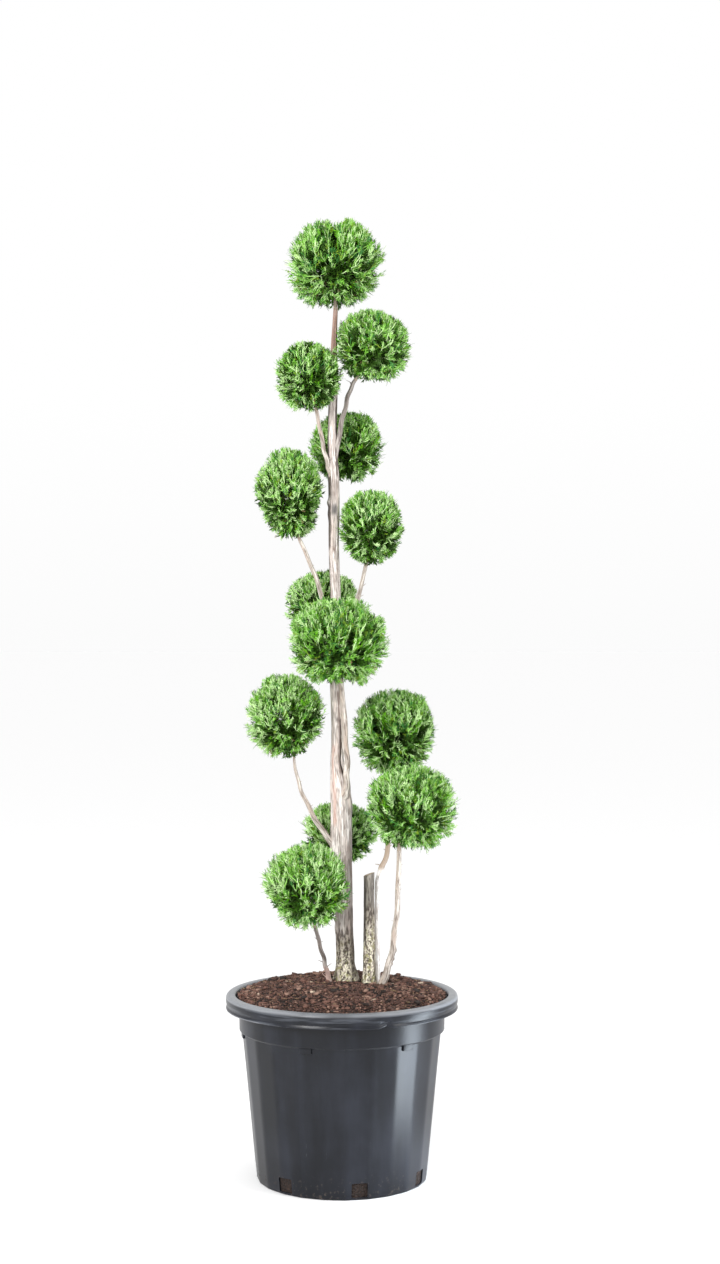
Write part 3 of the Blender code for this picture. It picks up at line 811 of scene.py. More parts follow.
@dataclass
class Pot:
    """The pot: a faceted wall, a plain band, a rolled lip with its skirt, lugs and drainage holes."""

    foot_radius: float = 0.1568
    body_top_radius: float = 0.1838
    band_radius: float = 0.1887
    lip_radius: float = 0.2135
    mouth_radius: float = 0.1957
    wall: float = 0.0022
    band_bottom: float = 0.273
    lip_bottom: float = 0.312
    facets: int = 24
    facet_turn: float = math.radians(3)
    steps: int = 192
    holes: int = 7
    hole_size: Pair = (0.029, 0.026)
    hole_turn: float = math.radians(12)
    lugs: int = 6
    lug_size: Pair = (0.023, 0.011)
    lug_proud: float = 0.0019
    lug_turn: float = math.radians(-20)
    nick_turn: float = math.radians(22)
    nick_width: float = math.radians(1.7)
    nick_depth: float = 0.018
    nick_rise: float = 0.0042
    plastic: PotPlastic = PotPlastic()

    def profile(self) -> list[Pair]:
        """The wall's outline, from the middle of the underside round to the middle of the floor.

        Returns:
            The points, as a radius and a height.
        """
        foot, body, band = self.foot_radius, self.body_top_radius, self.band_radius
        lip, mouth, wall = self.lip_radius, self.mouth_radius, self.wall
        step, skirt, top = self.band_bottom, self.lip_bottom, POT_HEIGHT
        roll = [
            (lip - 0.0068 + 0.0068 * math.cos(a), top - 0.0075 + 0.0075 * math.sin(a))
            for a in np.radians(np.arange(0, 91, 15))
        ]
        inner = [
            (mouth + 0.0045 - 0.0045 * math.sin(a), top - 0.0042 + 0.0042 * math.cos(a))
            for a in np.radians(np.arange(0, 91, 18))
        ]
        underside = [(0.0, 0.0032), (foot - 0.022, 0.0032), (foot - 0.019, 0.0), (foot - 0.0028, 0.0)]
        outside = [
            (foot - 0.0008, 0.0008),
            (foot, 0.0028),
            (foot + 0.0011, 0.012),
            (body - 0.006, step - 0.060),
            (body - 0.0002, step - 0.003),
            (body + 0.0012, step - 0.0005),
            (band - 0.0008, step + 0.0003),
            (band, step + 0.0014),
            (band + 0.0004, step + 0.020),
            (band + 0.0006, skirt - 0.001),
        ]
        under_lip = [
            (band + 0.0006, skirt + 0.012),
            (band + 0.002, skirt + 0.0135),
            (lip - wall - 0.002, skirt + 0.0135),
            (lip - wall, skirt + 0.012),
            (lip - wall, skirt + 0.0006),
        ]
        skirt_face = [
            (lip - 0.6 * wall, skirt),
            (lip - 0.0004, skirt + 0.0004),
            (lip, skirt + 0.0016),
            (lip - 0.0006, skirt + 0.0042),
            (lip - 0.0016, skirt + 0.0062),
            (lip - 0.0010, skirt + 0.0090),
            (lip - 0.0001, skirt + 0.0130),
        ]
        inside = [
            (mouth - 0.0005, top - 0.010),
            (band - wall, top - 0.017),
            (band - wall, step + 0.003),
            (body - wall, step),
            (foot - wall + 0.0004, 0.006),
            (foot - wall - 0.003, 0.0052),
            (0.0, 0.0052),
        ]
        return [*underside, *outside, *under_lip, *skirt_face, *roll, *inner, *inside]

    def spun_wall(self) -> Object:
        """The profile, drawn from one vertex and spun once round the axis.

        Returns:
            The wall, closed and facing outwards.
        """
        profile = self.profile()
        deselect_all()
        bpy.ops.mesh.primitive_plane_add(size=0.01)
        obj = bpy.context.object
        bpy.ops.object.mode_set(mode="EDIT")
        bpy.ops.mesh.select_all(action="SELECT")
        bpy.ops.mesh.merge(type="CENTER")
        bpy.ops.transform.translate(value=(0, -profile[0][0], profile[0][1]))
        for (r0, z0), (r1, z1) in zip(profile, profile[1:]):
            bpy.ops.mesh.extrude_region_move(TRANSFORM_OT_translate={"value": (0, r0 - r1, z1 - z0)})
        bpy.ops.mesh.select_all(action="SELECT")
        bpy.ops.mesh.spin(steps=self.steps, angle=math.tau, center=(0, 0, 0), axis=(0, 0, 1))
        bpy.ops.object.mode_set(mode="OBJECT")
        merged_and_outward(obj, 1e-5)
        return obj

    def facet(self, obj: Object) -> None:
        """Flattens the wall to its facets, with a soft edge between them, and dents the lip.

        Args:
            obj: the round wall.
        """
        points = coordinates(obj)
        radius = np.hypot(points[:, 0], points[:, 1])
        turn = np.arctan2(points[:, 0], -points[:, 1])
        span = math.tau / self.facets
        within = np.abs((turn - self.facet_turn) % span - span / 2)
        chord = math.cos(span / 2) / np.cos(np.minimum(within, span / 2 - math.radians(0.8)))
        on_wall = (points[:, 2] < self.band_bottom - 0.0002) & (radius > self.foot_radius - 0.03)
        fade = 1 - np.clip((points[:, 2] - self.band_bottom + 0.004) / 0.004, 0, 1) * 0.5
        share = np.where(on_wall, 1 - (1 - chord) * fade, 1)
        skirt = (radius > self.lip_radius - 0.004) & (points[:, 2] < self.lip_bottom + 0.012)
        nick = np.exp(-((turn_between(turn, self.nick_turn) / self.nick_width) ** 2)) * skirt
        share -= self.nick_depth * nick
        points[:, :2] *= share[:, None]
        points[:, 2] += self.nick_rise * nick
        set_coordinates(obj, points)

    def box_at(self, turn: float, radius: float, z: float, size: Point, bevel: float) -> Object:
        """A box with round edges on the wall.

        Args:
            turn: its angle from the front.
            radius: how far out its middle is.
            z: its height.
            size: its depth, width and height.
            bevel: the radius of its edges.

        Returns:
            The box.
        """
        deselect_all()
        place = (radius * math.sin(turn), -radius * math.cos(turn), z)
        bpy.ops.mesh.primitive_cube_add(size=1, location=place, rotation=(0, 0, turn - math.pi / 2))
        obj = bpy.context.object
        obj.scale = size
        bpy.ops.object.transform_apply(location=True, rotation=True, scale=True)
        bpy.ops.object.mode_set(mode="EDIT")
        bpy.ops.mesh.select_all(action="SELECT")
        bpy.ops.mesh.bevel(offset=bevel, segments=3, affect="EDGES")
        bpy.ops.object.mode_set(mode="OBJECT")
        return obj

    def radius_at(self, z: float) -> float:
        """The wall's outer radius at this height."""
        return self.foot_radius + (self.body_top_radius - self.foot_radius) * z / self.band_bottom

    def cut_holes(self, obj: Object) -> None:
        """Cuts the drainage holes through the wall and the edge of the underside.

        Args:
            obj: the wall.
        """
        width, height = self.hole_size
        cutters = []
        for k in range(self.holes):
            turn = self.hole_turn + math.tau * k / self.holes
            size = (0.026, width, height)
            cutters.append(self.box_at(turn, self.foot_radius + 0.003, 0.004 + height / 2, size, 0.002))
        cutter = joined(cutters)
        apply_modifier(obj, "BOOLEAN", operation="DIFFERENCE", solver="EXACT", object=cutter)
        bpy.data.objects.remove(cutter, do_unlink=True)

    def lug_pieces(self) -> list[Object]:
        """The stacking lugs, sunk in the wall under the band.

        Returns:
            A piece for each lug.
        """
        width, height = self.lug_size
        z = self.band_bottom - height / 2
        depth = self.lug_proud + 0.0026
        pieces = []
        for k in range(self.lugs):
            turn = self.lug_turn + math.tau * k / self.lugs
            radius = self.radius_at(z) + self.lug_proud - depth / 2
            pieces.append(self.box_at(turn, radius, z, (depth, width, height), 0.0011))
        return pieces

    def build(self) -> None:
        """Makes the pot and hands it over."""
        wall = self.spun_wall()
        self.facet(wall)
        self.cut_holes(wall)
        pot = settle(joined([wall, *self.lug_pieces()]), "nursery_pot")
        dress(pot, 24, self.plastic.material())
        hand_over(pot, "pot", "pot", "pot_lip")


# ---------------------------------------------------------------- soil


@dataclass
class Soil:
    """The root ball's bed, with loose crumbs and fibres of bark over it."""

    level_radius: float = 0.092
    mouth_radius: float = 0.1915
    edge_drop: float = 0.022
    ledge_radius: float = 0.184
    ledge_height: float = 0.29
    foot_radius: float = 0.1528
    step_radius: float = 0.1790
    step_height: float = 0.272
    bed_rings: int = 60
    heap_rings: int = 44
    bed_steps: int = 160
    crumbs: int = 14000
    crumb_size: Pair = (0.00065, 0.0014)
    stretches: tuple[Pair, ...] = ((0.9, 2.4), (0.6, 1.3), (0.35, 0.8))
    tint_steps: tuple[float, ...] = (-0.72, 0.10, 0.95, 1.95)
    fibres: int = 520
    mix: SoilMix = SoilMix()

    def surface(self, radius: Array) -> Array:
        """The height of the heap at this distance from the axis."""
        share = np.clip((radius - self.level_radius) / (self.mouth_radius - self.level_radius), 0, 1)
        return SOIL_TOP - 0.0015 - self.edge_drop * share**1.9

    def bed(self) -> Object:
        """The bed: the heap above, and the wall and floor of the root ball inside the pot.

        Returns:
            The bed, closed.
        """
        deselect_all()
        bpy.ops.mesh.primitive_grid_add(x_subdivisions=self.bed_steps, y_subdivisions=self.bed_rings, size=1)
        obj = bpy.context.object
        flat = coordinates(obj)
        turn = (flat[:, 0] + 0.5) * math.tau
        ring = np.round((flat[:, 1] + 0.5) * self.bed_rings).astype(int)
        heap = ring <= self.heap_rings
        across = np.clip(ring / self.heap_rings, 0, 1) * self.mouth_radius
        down = np.clip((ring - self.heap_rings) / (self.bed_rings - 2 - self.heap_rings), 0, 1)
        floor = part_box("soil")[0].z + 0.0004
        edge = self.surface(np.array([self.mouth_radius]))[0]
        z = np.where(heap, self.surface(across), edge + (floor - edge) * down)
        widening = np.clip((z - floor) / (self.step_height - floor), 0, 1)
        wall = self.foot_radius + (self.step_radius - self.foot_radius) * widening
        radius = np.where(heap, across, np.where(z < self.ledge_height, wall, self.ledge_radius))
        radius = np.where(ring >= self.bed_rings - 1, 0.0, radius)
        points = around(radius, turn, z)
        bumps = ripple(points, 55, 3.1) * 0.0016 + ripple(points, 150, 9.4) * 0.001
        points[:, 2] += np.where(heap, bumps, 0)
        set_coordinates(obj, points)
        merged_and_outward(obj, 1e-5)
        return obj

    def crumb_mesh(self, stems: list[Stem]) -> Object:
        """Thousands of small angular grains of bark, each a stretched block with its corners moved.

        Args:
            stems: the place and radius of each stem, which the grains keep off.

        Returns:
            The grains as one mesh.
        """
        rng = np.random.default_rng(SEED + 1)
        cube = np.array([(x, y, z) for x in (-1, 1) for y in (-1, 1) for z in (-1, 1)], float)
        quads = [(0, 1, 3, 2), (4, 6, 7, 5), (0, 4, 5, 1), (2, 3, 7, 6), (0, 2, 6, 4), (1, 5, 7, 3)]
        sides = np.array([t for a, b, c, d in quads for t in ((a, b, c), (a, c, d))])
        count = self.crumbs
        radius = self.mouth_radius * np.sqrt(rng.uniform(0, 0.985, count))
        place = around(radius, rng.uniform(0, math.tau, count), self.surface(radius))
        least, more = self.crumb_size
        size = least + more * rng.random(count) ** 2.2
        size = np.where(rng.random(count) < 0.06, size * 1.9, size)
        for x, y, r in stems:
            size = np.where(np.hypot(place[:, 0] - x, place[:, 1] - y) < r + 0.0015, 0, size)
        place, size = place[size > 0], size[size > 0]
        count = len(size)
        stretch = np.stack([rng.uniform(low, high, count) for low, high in self.stretches], 1)
        corners = cube[None] * (1 + rng.uniform(-0.42, 0.25, (count, 8, 3))) * stretch[:, None]
        corners = corners @ turned_frames(rng, count, 0.55) * size[:, None, None]
        place[:, 2] += size * rng.uniform(-0.2, 1.3, count)
        points = (corners + place[:, None]).reshape(-1, 3)
        points[:, 2] = np.minimum(points[:, 2], SOIL_TOP + 0.006)
        faces = (sides[None] + np.arange(count)[:, None, None] * 8).reshape(-1, 3)
        patches = ripple(place, 34, 5.0) + 0.6 * ripple(place, 90, 1.0)
        score = rng.normal(0, 0.72, count) + 0.85 * patches
        slots = np.repeat(np.searchsorted(self.tint_steps, score), len(sides))
        return mesh_from_arrays("soil_crumbs", points, faces, slots, CrumbTint.dressed("crumb", 0.92))

    def fibre_mesh(self) -> Object:
        """Short shreds of bark that lie across the crumbs.

        Returns:
            The shreds as one mesh.
        """
        rng = np.random.default_rng(SEED + 2)
        paths, radii = [], []
        for _ in range(self.fibres):
            radius = self.mouth_radius * math.sqrt(rng.uniform(0.02, 0.95))
            turn = rng.uniform(0, math.tau)
            height = self.surface(np.array([radius]))[0] + rng.uniform(0.0008, 0.0026)
            start = around(radius, turn, height)
            way = rng.uniform(0, math.tau)
            reach = rng.uniform(0.004, 0.013)
            end = start + np.array([math.cos(way), math.sin(way), rng.uniform(-0.15, 0.2)]) * reach
            bend = np.array([-math.sin(way), math.cos(way), 0.2]) * rng.uniform(-0.2, 0.2) * reach
            paths.append(bezier([start, (start + end) / 2 + bend, end], np.linspace(0, 1, 4)))
            radii.append(np.array([0.5, 1, 0.9, 0.3]) * rng.uniform(0.0003, 0.00075))
        points, faces = tube_bundle(np.array(paths), np.array(radii), 3)
        slots = np.repeat(rng.integers(0, 2, self.fibres), len(faces) // self.fibres)
        return mesh_from_arrays("soil_fibres", points, faces, slots, FibreTint.dressed("fibre", 0.9))

    def build(self, stems: list[Stem]) -> None:
        """Makes the bed, crumbs and fibres and hands them over.

        Args:
            stems: the place and radius of each stem.
        """
        bed = settle(self.bed(), "soil_bed")
        dress(bed, 60, self.mix.material())
        hand_over(bed, "soil", "soil")
        hand_over(self.crumb_mesh(stems), "soil")
        hand_over(self.fibre_mesh(), "soil")


def turned_frames(rng: np.random.Generator, count: int, tilt: float) -> Array:
    """Random turns about Z, each then tipped a little.

    Args:
        rng: the source of the draws.
        count: how many turns.
        tilt: the spread of the tip, in radians.

    Returns:
        A rotation matrix for each.
    """
    turn = rng.uniform(0, math.tau, count)
    tip = rng.normal(0, tilt, count)
    about_z, about_x = np.zeros((2, count, 3, 3))
    for frames, angle, one, other, still in ((about_z, turn, 0, 1, 2), (about_x, tip, 1, 2, 0)):
        frames[:, still, still] = 1
        frames[:, one, one] = frames[:, other, other] = np.cos(angle)
        frames[:, one, other] = np.sin(angle)
        frames[:, other, one] = -np.sin(angle)
    return about_x @ about_z


def frames_along(paths: Array) -> tuple[Array, Array]:
    """Two directions square to each path at each of its points.

    Args:
        paths: a row of points for each path.

    Returns:
        The side and the other direction, shaped like the paths.
    """
    tangents = unit(np.gradient(paths, axis=1))
    helper = np.where(np.abs(tangents[..., 2:3]) > 0.9, (1.0, 0.0, 0.0), (0.0, 0.0, 1.0))
    side = unit(np.cross(tangents, helper[:, :1]))
    return side, np.cross(tangents, side)


def tube_bundle(paths: Array, radii: Array, sides: int) -> tuple[Array, Array]:
    """Thin closed tubes, one along each path.

    Args:
        paths: a row of points for each path.
        radii: the tube's radius at each point.
        sides: how many sides a tube has.

    Returns:
        The points, and the faces as triangles.
    """
    side, other = frames_along(paths)
    turns = np.arange(sides) * math.tau / sides
    round_it = side[:, :, None] * np.cos(turns)[:, None] + other[:, :, None] * np.sin(turns)[:, None]
    rings = paths[:, :, None] + round_it * radii[:, :, None, None]
    count, length = paths.shape[:2]
    pattern = []
    for ring in range(length - 1):
        for k in range(sides):
            a, b = ring * sides + k, ring * sides + (k + 1) % sides
            pattern += [(a, b, b + sides), (a, b + sides, a + sides)]
    for k in range(1, sides - 1):
        last = (length - 1) * sides
        pattern += [(0, k + 1, k), (last, last + k, last + k + 1)]
    faces = np.array(pattern)[None] + np.arange(count)[:, None, None] * length * sides
    return rings.reshape(-1, 3), faces.reshape(-1, 3)


# ---------------------------------------------------------------- limbs


@dataclass(frozen=True)
class Knot:
    """A swelling, stump or dent on a limb.

    along is in metres from the limb's foot, and turn in degrees from the front towards the right.
    """

    along: float
    turn: float
    length: float
    height: float
    width: float = 0.5


TRUNK_STATIONS = np.array(
    [
        (0.3573, 0.008, 0.030, 0.0205),
        (0.393, 0.006, 0.029, 0.0172),
        (0.460, 0.004, 0.027, 0.0165),
        (0.600, -0.002, 0.022, 0.0200),
        (0.715, -0.002, 0.018, 0.0188),
        (0.772, -0.0085, 0.016, 0.0120),
        (0.877, -0.011, 0.013, 0.0108),
        (1.080, -0.013, 0.008, 0.0092),
        (1.284, -0.016, 0.003, 0.0100),
        (1.404, -0.018, 0.0, 0.0083),
        (1.600, -0.012, 0.0, 0.0042),
    ]
)


def trunk_at(heights: Array) -> tuple[Array, Array]:
    """The trunk's centre and radius, smooth between its stations.

    Args:
        heights: the heights above the ground.

    Returns:
        A centre and a radius for each height.
    """
    low = np.clip(np.searchsorted(TRUNK_STATIONS[:, 0], heights) - 1, 0, len(TRUNK_STATIONS) - 2)
    a, b = TRUNK_STATIONS[low], TRUNK_STATIONS[low + 1]
    share = np.clip((heights - a[:, 0]) / (b[:, 0] - a[:, 0]), 0, 1)
    mixed = a + (b - a) * eased(share)[:, None]
    return np.column_stack([mixed[:, 1:3], heights]), mixed[:, 3]


def rolled_tube(name: str, path: Array, radii: Array, sides: int) -> tuple[Object, Array, Array]:
    """A grid rolled round a path, with its ends closed and a map in metres along the limb.

    Args:
        name: the tube's name.
        path: the centre of each ring.
        radii: each ring's radius.
        sides: how many sides the tube has.

    Returns:
        The tube before its seam is merged, each vertex's turn from the front, and its ring.
    """
    rings = len(path)
    deselect_all()
    bpy.ops.mesh.primitive_grid_add(x_subdivisions=sides, y_subdivisions=rings + 1, size=1)
    obj = bpy.context.object
    obj.name = name
    flat = coordinates(obj)
    turn = flat[:, 0] * math.tau
    row = np.round((flat[:, 1] + 0.5) * (rings + 1)).astype(int)
    ring = np.clip(row - 1, 0, rings - 1)
    tangent = unit(np.gradient(path, axis=0))
    front = np.array([0.0, -1.0, 0.0])
    front = unit(front - (tangent @ front)[:, None] * tangent)
    right = np.cross(tangent, front)
    out = front[ring] * np.cos(turn)[:, None] + right[ring] * np.sin(turn)[:, None]
    reach = np.where((row == 0) | (row == rings + 1), 0, radii[ring])
    set_coordinates(obj, path[ring] + out * reach[:, None])
    along = travelled(path)[ring]
    corners = np.empty(len(obj.data.loops), np.int32)
    obj.data.loops.foreach_get("vertex_index", corners)
    layer = obj.data.uv_layers[0]
    layer.name = "grain"
    layer.data.foreach_set("uv", np.stack([flat[corners, 0] + 0.5, along[corners]], 1).ravel())
    return obj, turn, ring


@dataclass
class Limb:
    """A trunk, stem or bough: bark relief, knots, a collar or flare, and small dead twigs.

    relief and collar are heights in metres, and flare is a share of the radius at soil level.
    """

    name: str
    path: Array
    radii: Array
    sides: int
    relief: float
    flare: float = 0.0
    collar: float = 0.0
    collar_reach: float = 0.013
    flare_reach: float = 0.035
    flare_lobes: int = 4
    knots: tuple[Knot, ...] = ()
    twiglets: int = 0
    seed: int = 0

    def raised(self) -> tuple[Object, Array]:
        """A tube with its bark, knots and root flare raised.

        Returns:
            The tube, and each vertex's ring.
        """
        obj, turn, ring = rolled_tube(self.name, self.path, self.radii, self.sides)
        points = coordinates(obj)
        along = travelled(self.path)[ring]
        away = points - self.path[ring]
        radius = np.linalg.norm(away, axis=1)
        round_it = np.stack([np.cos(turn), np.sin(turn), along], 1)
        lift = ripple(round_it, (1.9, 1.9, 9.0), self.seed + 0.3) * self.relief * 1.6
        lift += ripple(round_it, (5.2, 5.2, 17.0), self.seed + 5.7) * self.relief
        lift += ripple(round_it, (11.0, 11.0, 46.0), self.seed + 11.1) * self.relief * 0.5
        for knot in self.knots:
            off = turn_between(turn, math.radians(knot.turn))
            bell = np.exp(-(((along - knot.along) / knot.length) ** 2) - (off / knot.width) ** 2)
            lift += knot.height * bell
        if self.flare:
            height = np.clip(1 - (points[:, 2] - SOIL_TOP) / self.flare_reach, 0, 1.3)
            lobes = 0.5 + 0.5 * np.cos(self.flare_lobes * (turn - math.pi / 2) + 0.4)
            lift += radius * self.flare * height**2 * lobes
        if self.collar:
            lift += self.collar * np.exp(-((along / self.collar_reach) ** 2))
        lift = np.where(radius > 1e-9, np.maximum(lift, -0.6 * radius), 0)
        set_coordinates(obj, points + away / np.maximum(radius, 1e-9)[:, None] * lift[:, None])
        return obj, ring

    def twiglet_pieces(self) -> list[Object]:
        """Short dead twigs and buds, each a bent tapering tube rooted in the limb.

        Returns:
            A piece for each twig.
        """
        rng = np.random.default_rng(SEED * 10 + self.seed)
        pieces = []
        for _ in range(self.twiglets):
            at = int(rng.uniform(0.12, 0.93) * (len(self.path) - 1))
            out = around(1.0, rng.uniform(0, math.tau), rng.uniform(0.1, 0.9))
            length = self.radii[at] + 0.002 + 0.011 * rng.random() ** 2.5
            foot = self.path[at]
            end = foot + unit(out) * length
            bend = (foot + end) / 2 + rng.normal(0, 0.12, 3) * length
            line = bezier([foot, bend, end], np.linspace(0, 1, 4))
            thick = np.array([1.5, 1.0, 0.8, 0.4]) * rng.uniform(0.0006, 0.0011)
            pieces.append(rolled_tube("twiglet", line, thick, 6)[0])
        return pieces

    def closed(self, obj: Object, distance: float = 1e-6) -> Object:
        """The limb with its twigs joined on and its seam merged.

        Args:
            obj: the raised tube.
            distance: how near two points are that become one.

        Returns:
            The whole limb.
        """
        obj = settle(joined([obj, *self.twiglet_pieces()]), self.name)
        merged_and_outward(obj, distance)
        return obj

    def build(self, bark: Material, node: str) -> None:
        """Makes the limb and hands it over for this node.

        Args:
            bark: its material.
            node: the frame's node.
        """
        obj = self.closed(self.raised()[0])
        dress(obj, 70, bark)
        hand_over(obj, "bark", node)


@dataclass(frozen=True)
class Hollow:
    """A dent in a ball, its sprays shortened and dealt darker tints as painted shade: its way from the
    centre, its angular width and its depth.
    """

    way: Point
    width: float
    depth: float


@dataclass(frozen=True)
class Notch:
    """A V cut into a ball's outline: its turn, its half width in degrees and its depth as a share."""

    turn: float
    width: float
    depth: float


@dataclass(frozen=True)
class Ball:
    """Where a ball is and how far it reaches.

    Each lobe is a turn in degrees, from the right by way of the top as seen from the front, and
    how much further than the plain ball the clipped outline comes there, as a share. brightness lightens or
    darkens all its tints, partly as painted light: balls 7 and 12, behind the others and in their shade, are
    lifted most.
    """

    centre: Point
    half_width: float
    half_height: float
    hollows: tuple[Hollow, ...] = ()
    lobes: tuple[Pair, ...] = ()
    # lightens all the tints, partly painted light for balls in the shade of others
    brightness: float = 0.0
    notches: tuple[Notch, ...] = ()

    @property
    def sizes(self) -> Array:
        """The reach along X, Y and Z."""
        return np.array([self.half_width, self.half_width, self.half_height])


BALLS = {
    1: Ball(
        (-0.013, 0.0, 1.682), 0.094, 0.084,
        hollows=(Hollow((-0.22, -0.95, -0.16), 0.36, 0.26), Hollow((0.0, -0.22, 0.97), 0.19, 0.48)),
        lobes=((22, -0.08), (62, 0.02), (120, -0.06), (155, -0.05), (225, 0.06), (245, 0.06), (305, 0.04)),
        brightness=-0.18,
        notches=(Notch(89, 10, 0.27),),
    ),
    2: Ball(
        (0.057, -0.020, 1.526), 0.072, 0.069,
        hollows=(Hollow((-0.50, -0.80, -0.32), 0.42, 0.19),),
        lobes=((20, -0.05), (60, -0.06), (150, 0.06), (245, -0.10), (310, 0.05)),
    ),
    3: Ball(
        (-0.062, -0.045, 1.468), 0.062, 0.065,
        hollows=(Hollow((0.16, -0.76, 0.60), 0.30, 0.16),),
        lobes=((55, -0.08), (155, -0.05), (225, 0.05), (330, 0.05)),
    ),
    4: Ball(
        (0.009, 0.085, 1.350), 0.073, 0.068,
        hollows=(Hollow((0.32, -0.95, 0.0), 0.36, 0.22),),
        lobes=((0, -0.06), (50, 0.06), (120, -0.06)),
    ),
    5: Ball(
        (-0.096, -0.010, 1.255), 0.066, 0.086,
        hollows=(Hollow((0.30, -0.93, 0.25), 0.34, 0.20),),
        lobes=((70, -0.02), (118, 0.07), (150, -0.09), (172, 0.05), (212, -0.14), (240, -0.06), (325, -0.12)),
        brightness=0.30,
    ),
    6: Ball(
        (0.055, 0.0, 1.195), 0.063, 0.071,
        hollows=(Hollow((-0.45, -0.85, 0.25), 0.34, 0.16),),
        lobes=((10, -0.10), (50, 0.02), (150, 0.04), (325, -0.04)),
        brightness=0.18,
    ),
    7: Ball(
        (-0.037, 0.090, 1.054), 0.072, 0.068,
        lobes=((105, -0.09), (135, -0.09), (165, 0.04)),
        brightness=0.45,
    ),
    8: Ball(
        (-0.006, -0.085, 0.983), 0.097, 0.081,
        hollows=(Hollow((-0.08, -0.96, -0.30), 0.30, 0.20), Hollow((-0.62, -0.75, 0.25), 0.24, 0.13)),
        lobes=((30, -0.13), (62, 0.05), (155, 0.06), (205, -0.05), (280, -0.06), (303, 0.06)),
    ),
    9: Ball(
        (-0.103, -0.010, 0.847), 0.074, 0.079,
        hollows=(Hollow((0.45, -0.88, -0.10), 0.34, 0.17),),
        lobes=((28, -0.09), (120, 0.03), (150, -0.08), (168, 0.03), (230, 0.07), (275, -0.12), (310, -0.17)),
        brightness=0.24,
    ),
    10: Ball(
        (0.100, 0.045, 0.815), 0.082, 0.082,
        hollows=(Hollow((-0.06, -0.99, -0.05), 0.34, 0.20),),
        lobes=((0, -0.10), (40, 0.04), (135, 0.06), (150, -0.04), (180, 0.06), (335, -0.09)),
        brightness=0.05,
    ),
    11: Ball(
        (0.128, -0.055, 0.683), 0.087, 0.081,
        hollows=(Hollow((0.52, -0.85, 0.05), 0.28, 0.19), Hollow((-0.46, -0.85, -0.26), 0.30, 0.19)),
        lobes=((5, -0.10), (55, -0.03), (165, 0.04), (250, -0.10), (285, 0.02), (345, -0.05)),
    ),
    12: Ball(
        (-0.005, 0.100, 0.622), 0.072, 0.059,
        lobes=((125, 0.06), (155, 0.06), (200, 0.05), (335, 0.06)),
        brightness=0.35,
    ),
    13: Ball(
        (-0.064, -0.075, 0.541), 0.081, 0.081,
        hollows=(Hollow((-0.25, -0.93, 0.20), 0.26, 0.14),),
        lobes=((60, 0.05), (130, -0.10), (180, 0.02), (222, -0.20), (255, -0.10), (300, -0.08)),
        brightness=0.18,
    ),
}


@dataclass(frozen=True)
class Bough:
    """Where a bough leaves the trunk or soil, where it enters its ball, and how it bows between.

    leaves is a height on the trunk's axis, a point on the trunk, or a place (x, y) on the soil.
    entry is across and back, as shares of the ball's reach. Each bow is a share of the way up and
    how far it goes sideways there.
    """

    leaves: float | tuple[float, ...]
    entry: Pair
    bows: tuple[Pair, ...]
    thick: float
    thin: float
    knots: tuple[Knot, ...] = ()
    twiglets: int = 5
    bark: BoughBark = BoughBark.PLAIN

    @property
    def from_soil(self) -> bool:
        """Whether it rises from the soil, and not from the trunk."""
        return not isinstance(self.leaves, float) and len(self.leaves) == 2

    def line(self, ball: Ball, shares: Array) -> Array:
        """The bough's centre line up to the underside of its ball.

        Args:
            ball: the ball that it carries.
            shares: the places along the line, from 0 to 1.

        Returns:
            A point for each share.
        """
        across, back = self.entry
        drop = math.sqrt(1 - across * across - back * back)
        tip = np.array(ball.centre) + np.array([across, back, -drop]) * ball.sizes
        if self.from_soil:
            root = np.array([*self.leaves, SOIL_TOP - 0.006])
        elif isinstance(self.leaves, float):
            root = trunk_at(np.array([self.leaves]))[0][0]
        else:
            root = np.array(self.leaves)
        bowed = [root + (tip - root) * rise + np.array([bow, 0, 0]) for rise, bow in self.bows]
        return bezier([root, *bowed, tip], shares)


BOUGHS = {
    2: Bough(1.300, (-0.46, 0.05), ((0.85, -0.012),), 0.0050, 0.0034, twiglets=12, bark=BoughBark.GREY),
    3: Bough(1.285, (0.26, 0.15), ((0.10, -0.008),), 0.0046, 0.0034, twiglets=6),
    4: Bough(1.200, (-0.30, -0.30), ((0.35, 0.0),), 0.0050, 0.0036),
    5: Bough(0.955, (0.28, 0.05), ((0.50, 0.019),), 0.0054, 0.0032, twiglets=7),
    6: Bough(
        0.950, (-0.18, 0.0), ((0.11, 0.015),), 0.0050, 0.0036,
        knots=(Knot(0.128, 0, 0.006, 0.0016, 2.0),),
    ),
    7: Bough(0.930, (0.25, -0.35), ((0.35, 0.0),), 0.0052, 0.0036),
    8: Bough((0.003, 0.006, 0.700), (0.05, 0.45), ((0.05, 0.014),), 0.0064, 0.0048),
    9: Bough(0.590, (0.20, 0.10), ((0.54, -0.034),), 0.0060, 0.0024, twiglets=4),
    10: Bough(
        (0.0655, 0.0085), (-0.10, -0.05), ((0.94, -0.032), (0.21, 0.013)), 0.0054, 0.0042,
        knots=(
            Knot(0.050, 80, 0.004, 0.0016, 0.8),
            Knot(0.098, 60, 0.005, 0.0014, 0.8),
            Knot(0.150, 90, 0.004, 0.0018, 0.8),
            Knot(0.214, -70, 0.007, 0.0020, 1.2),
        ),
        twiglets=10,
        bark=BoughBark.PALE,
    ),
    11: Bough(
        (0.070, -0.008), (-0.27, 0.10), ((0.20, 0.026),), 0.0066, 0.0042,
        knots=(
            Knot(0.048, 85, 0.003, 0.0022, 0.6),
            Knot(0.058, 85, 0.003, 0.0018, 0.6),
            Knot(0.074, 85, 0.0035, 0.0022, 0.6),
            Knot(0.100, 85, 0.003, 0.0020, 0.6),
        ),
        twiglets=12,
    ),
    12: Bough(0.500, (0.05, -0.35), ((0.35, 0.0),), 0.0056, 0.0040),
    13: Bough(
        (-0.022, 0.014), (0.19, 0.35), ((0.22, 0.001),), 0.0044, 0.0034,
        twiglets=16,
        bark=BoughBark.GREY,
    ),
}

